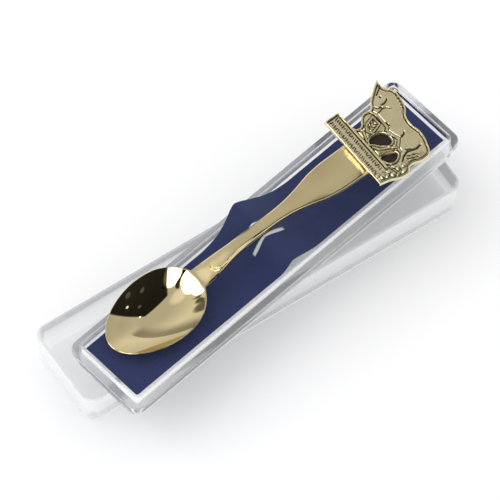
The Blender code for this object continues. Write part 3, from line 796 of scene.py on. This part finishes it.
def make_card(settings):
    """The flocked card with its grey back and edges, and the flock standing on it."""
    flock, board = blue_flock(settings.flock_colour), grey_board()
    carrier = card_mesh()
    card = add_object("flocked_card", carrier.copy(), flock, board)
    solid = card.modifiers.new("Board", "SOLIDIFY")
    solid.thickness = settings.card_thickness
    solid.offset = -1.0
    solid.use_even_offset = True
    solid.material_offset = 1
    solid.material_offset_rim = 1
    card = finished(card)
    card.data.shade_smooth()
    card.data.set_sharp_from_angle(angle=math.radians(40.0))
    place(card, "insert_card", "insert")
    fibres = grown("flock_fibres", carrier, fibre_tree(flock),
                   {"Density": settings.fibre_density, "Length": settings.fibre_length,
                    "Seed": settings.seed})
    place(fibres, None, "insert")


# ---------------------------------------------------------------- spoon

def spoon_pose():
    """Where the spoon lies: its own frame, in mm, into the part's frame."""
    turn = (Matrix.Rotation(SPOON_YAW, 4, "Z") @ Matrix.Rotation(-SPOON_PITCH, 4, "Y")
            @ Matrix.Rotation(SPOON_ROLL, 4, "X"))
    at = Matrix.Translation(Vector(SPOON_BOWL_CENTRE) * MM)
    return at @ turn @ Matrix.Scale(MM, 4) @ Matrix.Translation((-BOWL_LENGTH / 2, 0.0, 0.0))


def bowl_part(x):
    """1 along the bowl's middle, falling to 0 at its tip and at the neck."""
    along = (x - BOWL_LENGTH / 2) / (BOWL_LENGTH / 2)
    return max(0.0, 1.0 - along * along) if x < BOWL_LENGTH else 0.0


def half_width(x):
    """The spoon's half width: an egg-shaped bowl blended into the handle."""
    along = (x - BOWL_LENGTH / 2) / (BOWL_LENGTH / 2)
    bowl = BOWL_HALF_WIDTH * math.sqrt(bowl_part(x)) * (1.0 + BOWL_EGG * along)
    if x < BOWL_LENGTH / 2:
        return bowl
    handle = spline_value(HANDLE_STATIONS, x, 1)
    reach = min(1.0, (x - BOWL_LENGTH / 2) / (BOWL_LENGTH / 4))
    joined = (bowl + handle + math.hypot(bowl - handle, SHOULDER_BLEND * reach)) / 2
    return bowl + (joined - bowl) * reach


def edge_distance(x, y):
    """How far a point of the spoon is from its outline."""
    half = half_width(x)
    step = 0.02
    slope = (half_width(x + step) ** 2 - half_width(max(0.0, x - step)) ** 2) / (step + min(x, step))
    return (half * half - y * y) / np.maximum(2.0 * np.hypot(slope / 2.0, y), 1e-6)


def tongue_rise(x, y):
    """The handle's root: a round-ended tongue standing on the bowl's shoulder."""
    if x > 60.0:
        return np.zeros_like(y)
    half = min(TONGUE_HALF_WIDTH, half_width(x) - TONGUE_EDGE)
    behind = max(0.0, TONGUE_TIP + half - x)
    inside = half - np.hypot(behind, y)
    return TONGUE_RISE * smoothstep(-0.10, 0.20, inside) * (1.0 - smoothstep(48.0, 60.0, x))


def spoon_section(x, across):
    """Top and bottom heights, and the satin mask, over one section."""
    v = np.sin(np.pi / 2 * np.linspace(-1.0, 1.0, across + 1))
    half = half_width(x)
    y = v * half
    handle = smoothstep(35.0, 42.0, x)
    part = np.maximum(bowl_part(x) * (1.0 - v * v) - RIM_LAND, 0.0) / (1.0 - RIM_LAND)
    run_out = RUN_OUT * smoothstep(BOWL_LENGTH * 0.8, BOWL_LENGTH, x)
    run_out = run_out * (1.0 - smoothstep(2.0, 4.5, np.abs(y)))
    part = part * part / np.maximum(part + run_out, 1e-6)
    crown = HANDLE_CROWN * half * (1.0 - v * v) * smoothstep(BOWL_LENGTH, BOWL_LENGTH + 4.0, x)
    top = spline_value(HANDLE_STATIONS, x, 2) + crown - BOWL_DEPTH * part
    metal = spline_value(HANDLE_STATIONS, x, 3) if x > HANDLE_STATIONS[0][0] else BOWL_METAL
    d = edge_distance(x, y) if x > 1e-6 else np.zeros_like(y)
    bottom = top - metal + (BOWL_METAL - RIM_METAL) * (1.0 - smoothstep(0.0, 3.0, d)) * (1.0 - handle)
    top = top + tongue_rise(x, y)
    soft = RIM_ROUNDING * (1.0 - np.sqrt(1.0 - (1.0 - np.clip(d / RIM_ROUNDING, 0.0, 1.0)) ** 2))
    chamfer = 0.34 * (1.0 - smoothstep(0.05, 0.55, d)) + 0.10 * (1.0 - np.clip(d / 0.55, 0.0, 1.0))
    top = top - soft * (1.0 - handle) - chamfer * handle
    bottom = bottom + soft
    satin = handle * np.ones_like(y)
    return y, top, bottom, satin


def make_spoon(settings):
    """The spoon: sections from tip to handle end, closed along the rim and at both ends."""
    tip = [BOWL_LENGTH / 2 * (1.0 - math.cos(math.pi * i / TIP_DIVISIONS)) for i in range(1, TIP_STEPS + 1)]
    neck = [tip[-1] + NECK_STEP * i for i in range(1, NECK_STEPS + 1)]
    handle = [neck[-1] + (HANDLE_END - neck[-1]) * i / HANDLE_STEPS for i in range(1, HANDLE_STEPS + 1)]
    pose = spoon_pose()
    bm = bmesh.new()
    satin_layer = bm.verts.layers.float.new("satin")
    rows = []

    def vert(x, y, z, satin):
        made = bm.verts.new(pose @ Vector((x, y, z)))
        made[satin_layer] = satin
        return made

    for x in tip + neck + handle:
        y, top, bottom, satin = (list(map(float, part)) for part in spoon_section(x, SECTION_STEPS))
        rows.append(([vert(x, *p) for p in zip(y, top, satin)],
                     [vert(x, *p) for p in zip(y, bottom, satin)]))
    tip_top = vert(0.0, 0.0, -RIM_ROUNDING, 0.0)
    tip_bottom = vert(0.0, 0.0, -RIM_METAL + RIM_ROUNDING, 0.0)
    first_top, first_bottom = rows[0]
    for k in range(SECTION_STEPS):
        bm.faces.new((tip_top, first_top[k], first_top[k + 1]))
        bm.faces.new((tip_bottom, first_bottom[k + 1], first_bottom[k]))
    bm.faces.new((tip_top, tip_bottom, first_bottom[0], first_top[0]))
    bm.faces.new((tip_top, first_top[-1], first_bottom[-1], tip_bottom))
    for (top_a, low_a), (top_b, low_b) in zip(rows, rows[1:]):
        for k in range(SECTION_STEPS):
            bm.faces.new((top_a[k], top_b[k], top_b[k + 1], top_a[k + 1]))
            bm.faces.new((low_a[k + 1], low_b[k + 1], low_b[k], low_a[k]))
        bm.faces.new((top_a[0], low_a[0], low_b[0], top_b[0]))
        bm.faces.new((top_a[-1], top_b[-1], low_b[-1], low_a[-1]))
    top_end, low_end = rows[-1]
    for k in range(SECTION_STEPS):
        bm.faces.new((top_end[k], low_end[k], low_end[k + 1], top_end[k + 1]))
    spoon = add_object("gilt_spoon", mesh_of(bm, "gilt_spoon", 40.0), gold_plate(settings.gold_colour))
    place(spoon, "spoon", "spoon")


# ---------------------------------------------------------------- plaque

def plaque_pose():
    """The plaque's own frame, in mm, into the part's frame; z = 0 is its underside."""
    middle = PLAQUE_BAR_Q + BAR_DEPTH / 2
    top = spline_value(HANDLE_STATIONS, middle, 2) + HANDLE_CROWN * half_width(middle) + GAP
    turn = Matrix(((0.0, 1.0, 0.0, PLAQUE_BAR_Q), (-1.0, 0.0, 0.0, PLAQUE_HANDLE_P),
                   (0.0, 0.0, 1.0, top), (0.0, 0.0, 0.0, 1.0)))
    return spoon_pose() @ turn


def closed_outlines(step):
    """The plaque's outline and its two recesses as closed rings of evenly spaced points."""
    rings = []
    for points in (HORSE_OUTLINE, [(p, q, "s") for p, q in FORELEG_RECESS],
                   [(p, q, "s") for p, q in HINDLEG_RECESS]):
        curve = bpy.data.curves.new("outline", "CURVE")
        curve.dimensions = "2D"
        curve.fill_mode = "NONE"
        spline = curve.splines.new("BEZIER")
        spline.bezier_points.add(len(points) - 1)
        spline.use_cyclic_u = True
        spline.resolution_u = 16
        for point, (p, q, kind) in zip(spline.bezier_points, points):
            point.co = (p, q, 0.0)
            point.handle_left_type = point.handle_right_type = "AUTO" if kind == "s" else "VECTOR"
        item = bpy.data.objects.new("outline", curve)
        bpy.context.scene.collection.objects.link(item)
        bpy.context.view_layer.update()
        line = item.evaluated_get(bpy.context.evaluated_depsgraph_get()).to_mesh()
        ring = np.array([v.co[:2] for v in line.vertices])
        bpy.data.objects.remove(item, do_unlink=True)
        bpy.data.curves.remove(curve)
        made = []
        for a, b in zip(ring, np.roll(ring, -1, axis=0)):
            length = np.linalg.norm(b - a)
            count = max(1, int(round(length / step)))
            if length > 1e-6:
                made += [a + (b - a) * k / count for k in range(count)]
        kept = [made[0]]
        for point in made[1:]:
            if np.linalg.norm(point - kept[-1]) > 0.5 * step:
                kept.append(point)
        if np.linalg.norm(kept[-1] - kept[0]) < 0.5 * step:
            kept.pop()
        rings.append(np.array(kept))
    return rings


def relief(points, rings):
    """Height above the underside, and the dark-cut mask, at points of the plaque."""
    p, q = points[:, 0], points[:, 1]
    outline = np.minimum.reduce([path_distance(points, ring, closed=True) for ring in rings])
    bar_edge = path_distance(points, [(0.2, BAR_DEPTH), (BAR_LENGTH - 3.0, BAR_DEPTH)])
    in_bar = (q < BAR_DEPTH) & (p < BAR_LENGTH - 2.2)
    d = np.minimum(outline, bar_edge + 0.12)
    field = HORSE_FIELD + 0.22 * smoothstep(0.8, 3.2, d)
    field = np.where(in_bar, BAR_FIELD, field)
    across = np.clip(outline / 0.3, 0, 1)
    rim = RIM_HEIGHT - 0.30 * (1.0 - np.sqrt(np.clip(1.0 - (1.0 - across) ** 2, 0, 1)))
    width = np.where(in_bar, BAR_RIM, HORSE_RIM)
    height = rim + (field - rim) * smoothstep(width, width + 0.14, d)
    cut = smoothstep(width + 0.02, width + 0.14, d) * (1.0 - smoothstep(width + 0.22, width + 0.42, d))
    height = height - RIM_CUT * cut
    for half, *path in RAISED_LINES:
        away = path_distance(points, path)
        keep = 1.0 - smoothstep(half, half + 0.16, away)
        shadow = smoothstep(half, half + 0.1, away) * (1.0 - smoothstep(half + 0.2, half + 0.38, away))
        beside = LINE_CUT * shadow * (1.0 - smoothstep(0.2, 0.5, height - 1.4))
        height = np.maximum(height - beside, LINE_HEIGHT * keep)
        cut = np.maximum(cut * (1.0 - keep), 0.85 * shadow * (d > width))
    for half, *path in CUT_LINES:
        away = path_distance(points, path)
        groove = 1.0 - smoothstep(half * 0.6, half * 1.35, away)
        height = height - GROOVE_DEPTH * groove
        cut = np.maximum(cut, groove)
    for lump_p, lump_q, radius, rise in LUMPS:
        away = np.hypot(p - lump_p, q - lump_q) / radius
        height = height + rise * np.clip(1.0 - away * away, 0.0, 1.0) ** 0.7 * 0.6
        ring_cut = smoothstep(0.75, 0.95, away) * (1.0 - smoothstep(1.0, 1.3, away))
        cut = np.maximum(cut * smoothstep(0.3, 0.8, away), ring_cut * 0.8 * (outline > 0.3))
    for ring in rings[1:]:
        sunk = inside_polygon(points, ring) & (path_distance(points, ring, closed=True) > 0.02)
        height = np.where(sunk, RECESS_FLOOR, height)
        cut = np.where(sunk, 1.0, cut)
    return np.clip(height, LEAST_HEIGHT, PLAQUE_THICK), np.clip(cut, 0.0, 1.0)


def plaque_mesh(step):
    """The plaque's closed mesh: relief on top, straight sides, flat back."""
    rings = closed_outlines(step)
    low, high = rings[0].min(0), rings[0].max(0)
    columns = np.arange(low[0], high[0], step)
    rows = np.arange(low[1], high[1], step * 0.866)
    grid = np.array([(c + 0.5 * step * (k % 2), r) for k, r in enumerate(rows) for c in columns])
    grid = grid[inside_polygon(grid, rings[0])]
    near = np.minimum.reduce([path_distance(grid, ring, closed=True) for ring in rings])
    grid = grid[near > 0.55 * step]
    edges, points = [], []
    for ring in rings:
        start = len(points)
        points += [tuple(point) for point in ring]
        edges += [(start + k, start + (k + 1) % len(ring)) for k in range(len(ring))]
    points += [tuple(point) for point in grid]
    verts, _, faces, *_ = delaunay_2d_cdt([Vector(point) for point in points], edges, [], 0, 1e-5)
    flat = np.array([tuple(v) for v in verts])
    centres = np.array([flat[list(face)].mean(0) for face in faces])
    keep = inside_polygon(centres, rings[0])
    heights, cuts = relief(flat, rings)
    pose = plaque_pose()
    bm = bmesh.new()
    cut_layer = bm.verts.layers.float.new("cut")
    top, low_side = [], []
    for (p, q), height, cut in zip(flat, heights, cuts):
        made = bm.verts.new(pose @ Vector((p, q, float(height))))
        made[cut_layer] = float(cut)
        top.append(made)
        low_side.append(bm.verts.new(pose @ Vector((p, q, 0.0))))
    uses = {}
    for face, kept in zip(faces, keep):
        if not kept:
            continue
        bm.faces.new([top[i] for i in face])
        bm.faces.new([low_side[i] for i in reversed(face)])
        for a, b in zip(face, face[1:] + face[:1]):
            uses[(a, b)] = uses.get((a, b), 0) + 1
    for a, b in uses:
        if (b, a) not in uses:
            bm.faces.new((top[b], top[a], low_side[a], low_side[b]))
    bmesh.ops.delete(bm, geom=[v for v in bm.verts if not v.link_faces], context="VERTS")
    to_plaque = pose.inverted()
    back = {f for f in bm.faces if abs((to_plaque @ f.calc_center_median()).z) < 1e-4}
    bmesh.ops.dissolve_limit(bm, angle_limit=math.radians(1.0),
                             verts=list({v for f in back for v in f.verts}),
                             edges=list({e for f in back for e in f.edges
                                         if all(g in back for g in e.link_faces)}))
    return mesh_of(bm, "horse_plaque", 50.0)


def mark_tree(material):
    """Small dark strokes of uneven length and slant, for the bar's two rows."""
    tree, start, end = add_tree("bar_marks", [("Seed", "NodeSocketInt", 0)])
    link = tree.links.new
    points = tree.nodes.new("GeometryNodeMeshToPoints")
    link(start.outputs["Geometry"], points.inputs["Mesh"])
    mark = node(tree, "GeometryNodeMeshCube", values={"Size": STROKE_SIZE})
    dark = node(tree, "GeometryNodeStoreNamedAttribute", data_type="FLOAT", domain="POINT",
                values={"Name": "cut", "Value": 1.0})
    link(mark.outputs["Mesh"], dark.inputs["Geometry"])
    size = node(tree, "FunctionNodeRandomValue", data_type="FLOAT_VECTOR",
                values={0: (0.7, 0.55, 0.8), 1: (1.5, 1.15, 1.0)})
    link(start.outputs["Seed"], size.inputs["Seed"])
    turn = node(tree, "FunctionNodeRandomValue", data_type="FLOAT_VECTOR",
                values={0: (0.0, 0.0, -STROKE_SLANT), 1: (0.0, 0.0, STROKE_SLANT)})
    link(start.outputs["Seed"], turn.inputs["Seed"])
    put = tree.nodes.new("GeometryNodeInstanceOnPoints")
    link(points.outputs["Points"], put.inputs["Points"])
    link(dark.outputs["Geometry"], put.inputs["Instance"])
    link(turn.outputs[0], put.inputs["Rotation"])
    link(size.outputs[0], put.inputs["Scale"])
    return end_tree(tree, put.outputs["Instances"], material, end)


def make_plaque(settings):
    """The struck plaque and the dark strokes along its bar."""
    antique = antique_gold(settings.antique_colour, settings.recess_colour)
    plaque = add_object("horse_plaque", plaque_mesh(settings.relief_step / MM), antique)
    place(plaque, "emblem_plaque", "spoon")
    count = settings.stroke_count
    carrier = bpy.data.meshes.new("bar_marks")
    spots = [(STROKE_START + STROKE_RUN * k / (count - 1), row, BAR_FIELD)
             for row in STROKE_ROWS for k in range(count)]
    carrier.from_pydata(spots, [], [])
    marks = grown("bar_marks", carrier, mark_tree(antique), {"Seed": settings.seed})
    marks.data.transform(plaque_pose())
    place(marks, None, "spoon")


def make_solder(settings):
    """The solder line between handle and bar: a rippled bead that hugs the corner."""
    pose = spoon_pose()
    bm = bmesh.new()
    sides = BEAD_SIDES
    rings = []
    for i in range(BEAD_STEPS + 1):
        t = i / BEAD_STEPS
        y = -BEAD_LENGTH / 2 + BEAD_LENGTH * t
        taper = min(1.0, 6.0 * t, 6.0 * (1.0 - t)) ** 0.5
        swell = 1.0 + 0.10 * math.sin(9.0 * t + 1.0) + 0.06 * math.sin(31.0 * t)
        radius = max(0.03, BEAD_RADIUS * taper * swell)
        x = PLAQUE_BAR_Q - GAP - BEAD_RADIUS
        z = spline_value(HANDLE_STATIONS, PLAQUE_BAR_Q - 1.0, 2) + GAP + 0.42
        z += HANDLE_CROWN * half_width(PLAQUE_BAR_Q - 1.0) * (1.0 - (y / 5.7) ** 2)
        rings.append([bm.verts.new(pose @ Vector((x + radius * math.cos(2 * math.pi * k / sides), y,
                                                  z + radius * math.sin(2 * math.pi * k / sides))))
                      for k in range(sides)])
    for a, b in zip(rings, rings[1:]):
        for k in range(sides):
            bm.faces.new((a[k], a[(k + 1) % sides], b[(k + 1) % sides], b[k]))
    bm.faces.new(rings[0])
    bm.faces.new(rings[-1])
    bead = add_object("solder_bead", mesh_of(bm, "solder_bead", 50.0), plated_solder())
    place(bead, "solder_fillet", "spoon")


# ---------------------------------------------------------------- stage

LIGHT_PATCHES = (                     # direction, half angle and softness (degrees), strength
    ((-0.56, -0.32, 0.76), 14.0, 1.2, 5.0),
    ((-0.70, 0.24, 0.62), 14.0, 1.2, 5.0), ((-0.40, 0.22, 0.89), 8.0, 6.0, 0.35))
SCREEN_SIDES = (                      # the dark screen: where each dot product is over its limit
    ((0.0, -1.0, 0.0), 0.07), ((1.0, -0.4, 0.0), -0.27), ((-1.0, -0.67, 0.0), -0.21))
GREY_PATCHES = (                      # direction, half angle and softness (degrees), darkening
    ((0.84, -0.35, 0.40), 26.0, 16.0, 0.35), ((-0.28, 0.83, 0.48), 8.0, 2.0, 0.80),
    ((-0.40, 0.70, 0.60), 5.0, 1.2, 0.85), ((-0.50, 0.56, 0.66), 5.0, 1.2, 0.85),
    ((-0.76, -0.06, 0.65), 6.0, 1.2, 0.95), ((-0.66, -0.03, 0.75), 6.0, 1.2, 0.95),
    ((-0.55, -0.02, 0.83), 5.0, 1.2, 0.95))
BAND_AXIS = (-0.769, 0.018, 0.639)    # a grey card's edge is square to this
BAND_DARKENING = 0.58
SPARKS = (                            # small lights in the dark screen: direction, half angle, strength
    ((0.33, -0.17, 0.93), 1.0, 3.0), ((0.40, -0.62, 0.68), 1.4, 1.5), ((0.22, -0.45, 0.87), 2.0, 0.12),
    ((0.05, -0.70, 0.72), 2.5, 0.10), ((0.30, -0.78, 0.55), 3.0, 0.08))
SCREEN_DARKENING = 0.975
MIRROR_LEVELS = (                     # what polished metal mirrors, from straight down to straight up
    (0.0, 0.80), (0.49, 0.80), (0.52, 0.66), (0.62, 0.70), (0.80, 0.84), (0.96, 0.56))
PLAIN_LEVELS = (                      # what every other ray sees, in the same way
    (0.0, 1.0), (0.47, 0.90), (0.495, 0.45), (0.515, 0.45), (0.56, 0.92), (1.0, 1.05))
LAMP_DIRECTION = (-0.45, 0.55, 0.8)
LAMP_DISTANCE = 3.0                   # metres, as are the next three
LAMP_SIZE = 2.6
FLOOR_HALF = 20.0
CAMERA_TARGET = (-0.00586, 0.00095, LIP_TOP * MM)
LAMP_POWER = 22.0                     # watts


def studio_light():
    """A pale surround with soft lights, a dark screen at one side and grey cards.

    Only rays mirrored by the metal see the lights, the screen and the cards; all others see a plain
    pale surround, a little darker at the horizon.
    """
    world = bpy.data.worlds.new("studio")
    bpy.context.scene.world = world
    world.use_nodes = True
    tree = world.node_tree
    tree.nodes.clear()
    direction = tree.nodes.new("ShaderNodeTexCoord").outputs["Generated"]
    split = tree.nodes.new("ShaderNodeSeparateXYZ")
    tree.links.new(direction, split.inputs[0])
    height = node(tree, "ShaderNodeMapRange", values={"From Min": -1.0, "From Max": 1.0})
    tree.links.new(split.outputs["Z"], height.inputs["Value"])

    def facing(axis, low, high):
        dot = node(tree, "ShaderNodeVectorMath", operation="DOT_PRODUCT")
        tree.links.new(direction, dot.inputs[0])
        dot.inputs[1].default_value = Vector(axis)
        reach = node(tree, "ShaderNodeMapRange", interpolation_type="SMOOTHSTEP",
                     values={"From Min": low, "From Max": high})
        tree.links.new(dot.outputs["Value"], reach.inputs["Value"])
        return reach.outputs["Result"]

    def patch(axis, half_angle, softness):
        return facing(Vector(axis).normalized(), math.cos(math.radians(half_angle + softness)),
                      math.cos(math.radians(half_angle - softness)))

    def lit(level, mask, strength):
        return math_node(tree, "ADD", level, math_node(tree, "MULTIPLY", mask, strength))

    def darkened(level, mask, share):
        kept = math_node(tree, "SUBTRACT", 1.0, math_node(tree, "MULTIPLY", mask, share))
        return math_node(tree, "MULTIPLY", level, kept)

    total = ramp(tree, height.outputs["Result"], MIRROR_LEVELS)
    for axis, half_angle, softness, strength in LIGHT_PATCHES:
        total = lit(total, patch(axis, half_angle, softness), strength)
    for axis, half_angle, softness, share in GREY_PATCHES:
        total = darkened(total, patch(axis, half_angle, softness), share)
    band = math_node(tree, "MULTIPLY", facing(BAND_AXIS, -0.02, 0.01), facing((0.0, 1.0, 0.0), 0.10, 0.35))
    fade = math_node(tree, "SUBTRACT", 1.0, facing(BAND_AXIS, 0.08, 0.38))
    total = darkened(total, math_node(tree, "MULTIPLY", band, fade), BAND_DARKENING)
    screen = 1.0
    for axis, limit in SCREEN_SIDES:
        screen = math_node(tree, "MULTIPLY", facing(axis, limit - 0.02, limit + 0.02), screen)
    total = darkened(total, screen, SCREEN_DARKENING)
    for axis, half_angle, strength in SPARKS:
        total = lit(total, patch(axis, half_angle, 0.5), strength)
    plain = ramp(tree, height.outputs["Result"], PLAIN_LEVELS)
    rays = tree.nodes.new("ShaderNodeLightPath")
    outside = math_node(tree, "LESS_THAN", rays.outputs["Transmission Depth"], 0.5)
    mirrored = math_node(tree, "MULTIPLY", rays.outputs["Is Glossy Ray"], outside)
    strength = node(tree, "ShaderNodeMix", data_type="FLOAT")
    for socket, value in (("Factor", mirrored), ("A", plain), ("B", total)):
        tree.links.new(value, strength.inputs[socket])
    background = node(tree, "ShaderNodeBackground")
    tree.links.new(strength.outputs[0], background.inputs["Strength"])
    background.inputs["Color"].default_value = (1.0, 1.0, 1.0, 1.0)
    output = tree.nodes.new("ShaderNodeOutputWorld")
    tree.links.new(background.outputs[0], output.inputs["Surface"])


def soft_lamp(name, direction, distance, size, power):
    """A broad soft lamp that lights the piece but isn't mirrored in the metal."""
    lamp = bpy.data.lights.new(name, "AREA")
    lamp.shape = "DISK"
    lamp.size = size
    lamp.energy = power
    item = bpy.data.objects.new(name, lamp)
    bpy.context.scene.collection.objects.link(item)
    axis = Vector(direction).normalized()
    item.matrix_world = (Matrix.Translation(axis * distance)
                         @ axis.to_track_quat("Z", "Y").to_matrix().to_4x4())
    item.visible_glossy = False
    item.visible_camera = False
    item.visible_transmission = False


def make_stage(settings):
    """Floor, surround and camera."""
    bm = bmesh.new()
    bmesh.ops.create_grid(bm, x_segments=4, y_segments=4, size=FLOOR_HALF)
    bmesh.ops.translate(bm, verts=bm.verts, vec=(0.0, 0.0, -0.05 * MM))
    floor = add_object("floor", mesh_of(bm, "floor"), pale_floor(settings.floor_colour))
    studio_light()
    soft_lamp("overhead_lamp", LAMP_DIRECTION, LAMP_DISTANCE, LAMP_SIZE, LAMP_POWER)
    bpy.context.scene.view_settings.view_transform = "Standard"
    target = Vector(CAMERA_TARGET)
    azimuth, elevation = settings.camera_azimuth, settings.camera_elevation
    forward = Vector((-math.sin(azimuth) * math.cos(elevation), math.cos(azimuth) * math.cos(elevation),
                      -math.sin(elevation)))
    lens = bpy.data.cameras.new("camera")
    lens.sensor_width = 36.0
    lens.lens = lens.sensor_width * settings.camera_distance / settings.view_width
    lens.clip_end = 100.0
    camera = bpy.data.objects.new("camera", lens)
    bpy.context.scene.collection.objects.link(camera)
    camera.matrix_world = (Matrix.Translation(target - forward * settings.camera_distance)
                           @ forward.to_track_quat("-Z", "Y").to_matrix().to_4x4())
    bpy.context.scene.camera = camera


# ---------------------------------------------------------------- operators, panel

class SOUVENIR_OT_case(Operator):
    """Build the clear tray and lid"""
    bl_idname = "souvenir.case"
    bl_label = "Clear case"

    def execute(self, context):
        make_case(context.scene.souvenir_case)
        return {"FINISHED"}


class SOUVENIR_OT_card(Operator):
    """Build the flocked card and its flock"""
    bl_idname = "souvenir.card"
    bl_label = "Flocked card"

    def execute(self, context):
        make_card(context.scene.souvenir_case)
        return {"FINISHED"}


class SOUVENIR_OT_spoon(Operator):
    """Build the gilt spoon"""
    bl_idname = "souvenir.spoon"
    bl_label = "Spoon"

    def execute(self, context):
        make_spoon(context.scene.souvenir_spoon)
        return {"FINISHED"}


class SOUVENIR_OT_plaque(Operator):
    """Build the horse plaque and the marks on its bar"""
    bl_idname = "souvenir.plaque"
    bl_label = "Horse plaque"

    def execute(self, context):
        make_plaque(context.scene.souvenir_spoon)
        return {"FINISHED"}


class SOUVENIR_OT_solder(Operator):
    """Build the solder line between handle and plaque"""
    bl_idname = "souvenir.solder"
    bl_label = "Solder line"

    def execute(self, context):
        make_solder(context.scene.souvenir_spoon)
        return {"FINISHED"}


class SOUVENIR_OT_stage(Operator):
    """Build the floor, the light and the camera"""
    bl_idname = "souvenir.stage"
    bl_label = "Stage"

    def execute(self, context):
        make_stage(context.scene.souvenir_stage)
        return {"FINISHED"}


OPERATORS = (SOUVENIR_OT_stage, SOUVENIR_OT_case, SOUVENIR_OT_card, SOUVENIR_OT_spoon,
             SOUVENIR_OT_plaque, SOUVENIR_OT_solder)


class SOUVENIR_PT_panel(Panel):
    """Lists the pieces and their settings"""
    bl_idname = "SOUVENIR_PT_panel"
    bl_label = "Spoon Case"
    bl_space_type = "VIEW_3D"
    bl_region_type = "UI"
    bl_category = "Spoon Case"

    def draw(self, context):
        layout = self.layout
        scene = context.scene
        for settings in (scene.souvenir_stage, scene.souvenir_case, scene.souvenir_spoon):
            box = layout.box()
            for name in settings.__annotations__:
                box.prop(settings, name)
        for operator in OPERATORS:
            layout.operator(operator.bl_idname)


CLASSES = (CaseSettings, SpoonSettings, StageSettings, *OPERATORS, SOUVENIR_PT_panel)


def register():
    """Register the classes and put the settings on the scene."""
    for each in CLASSES:
        bpy.utils.register_class(each)
    bpy.types.Scene.souvenir_case = PointerProperty(type=CaseSettings)
    bpy.types.Scene.souvenir_spoon = PointerProperty(type=SpoonSettings)
    bpy.types.Scene.souvenir_stage = PointerProperty(type=StageSettings)


def unregister():
    """Take the settings off the scene and unregister the classes."""
    del bpy.types.Scene.souvenir_stage, bpy.types.Scene.souvenir_spoon, bpy.types.Scene.souvenir_case
    for each in reversed(CLASSES):
        bpy.utils.unregister_class(each)


def main():
    """Register, and build everything in order."""
    register()
    bpy.ops.souvenir.stage()
    bpy.ops.souvenir.case()
    bpy.ops.souvenir.card()
    bpy.ops.souvenir.spoon()
    bpy.ops.souvenir.plaque()
    bpy.ops.souvenir.solder()


if __name__ == "__main__":
    main()
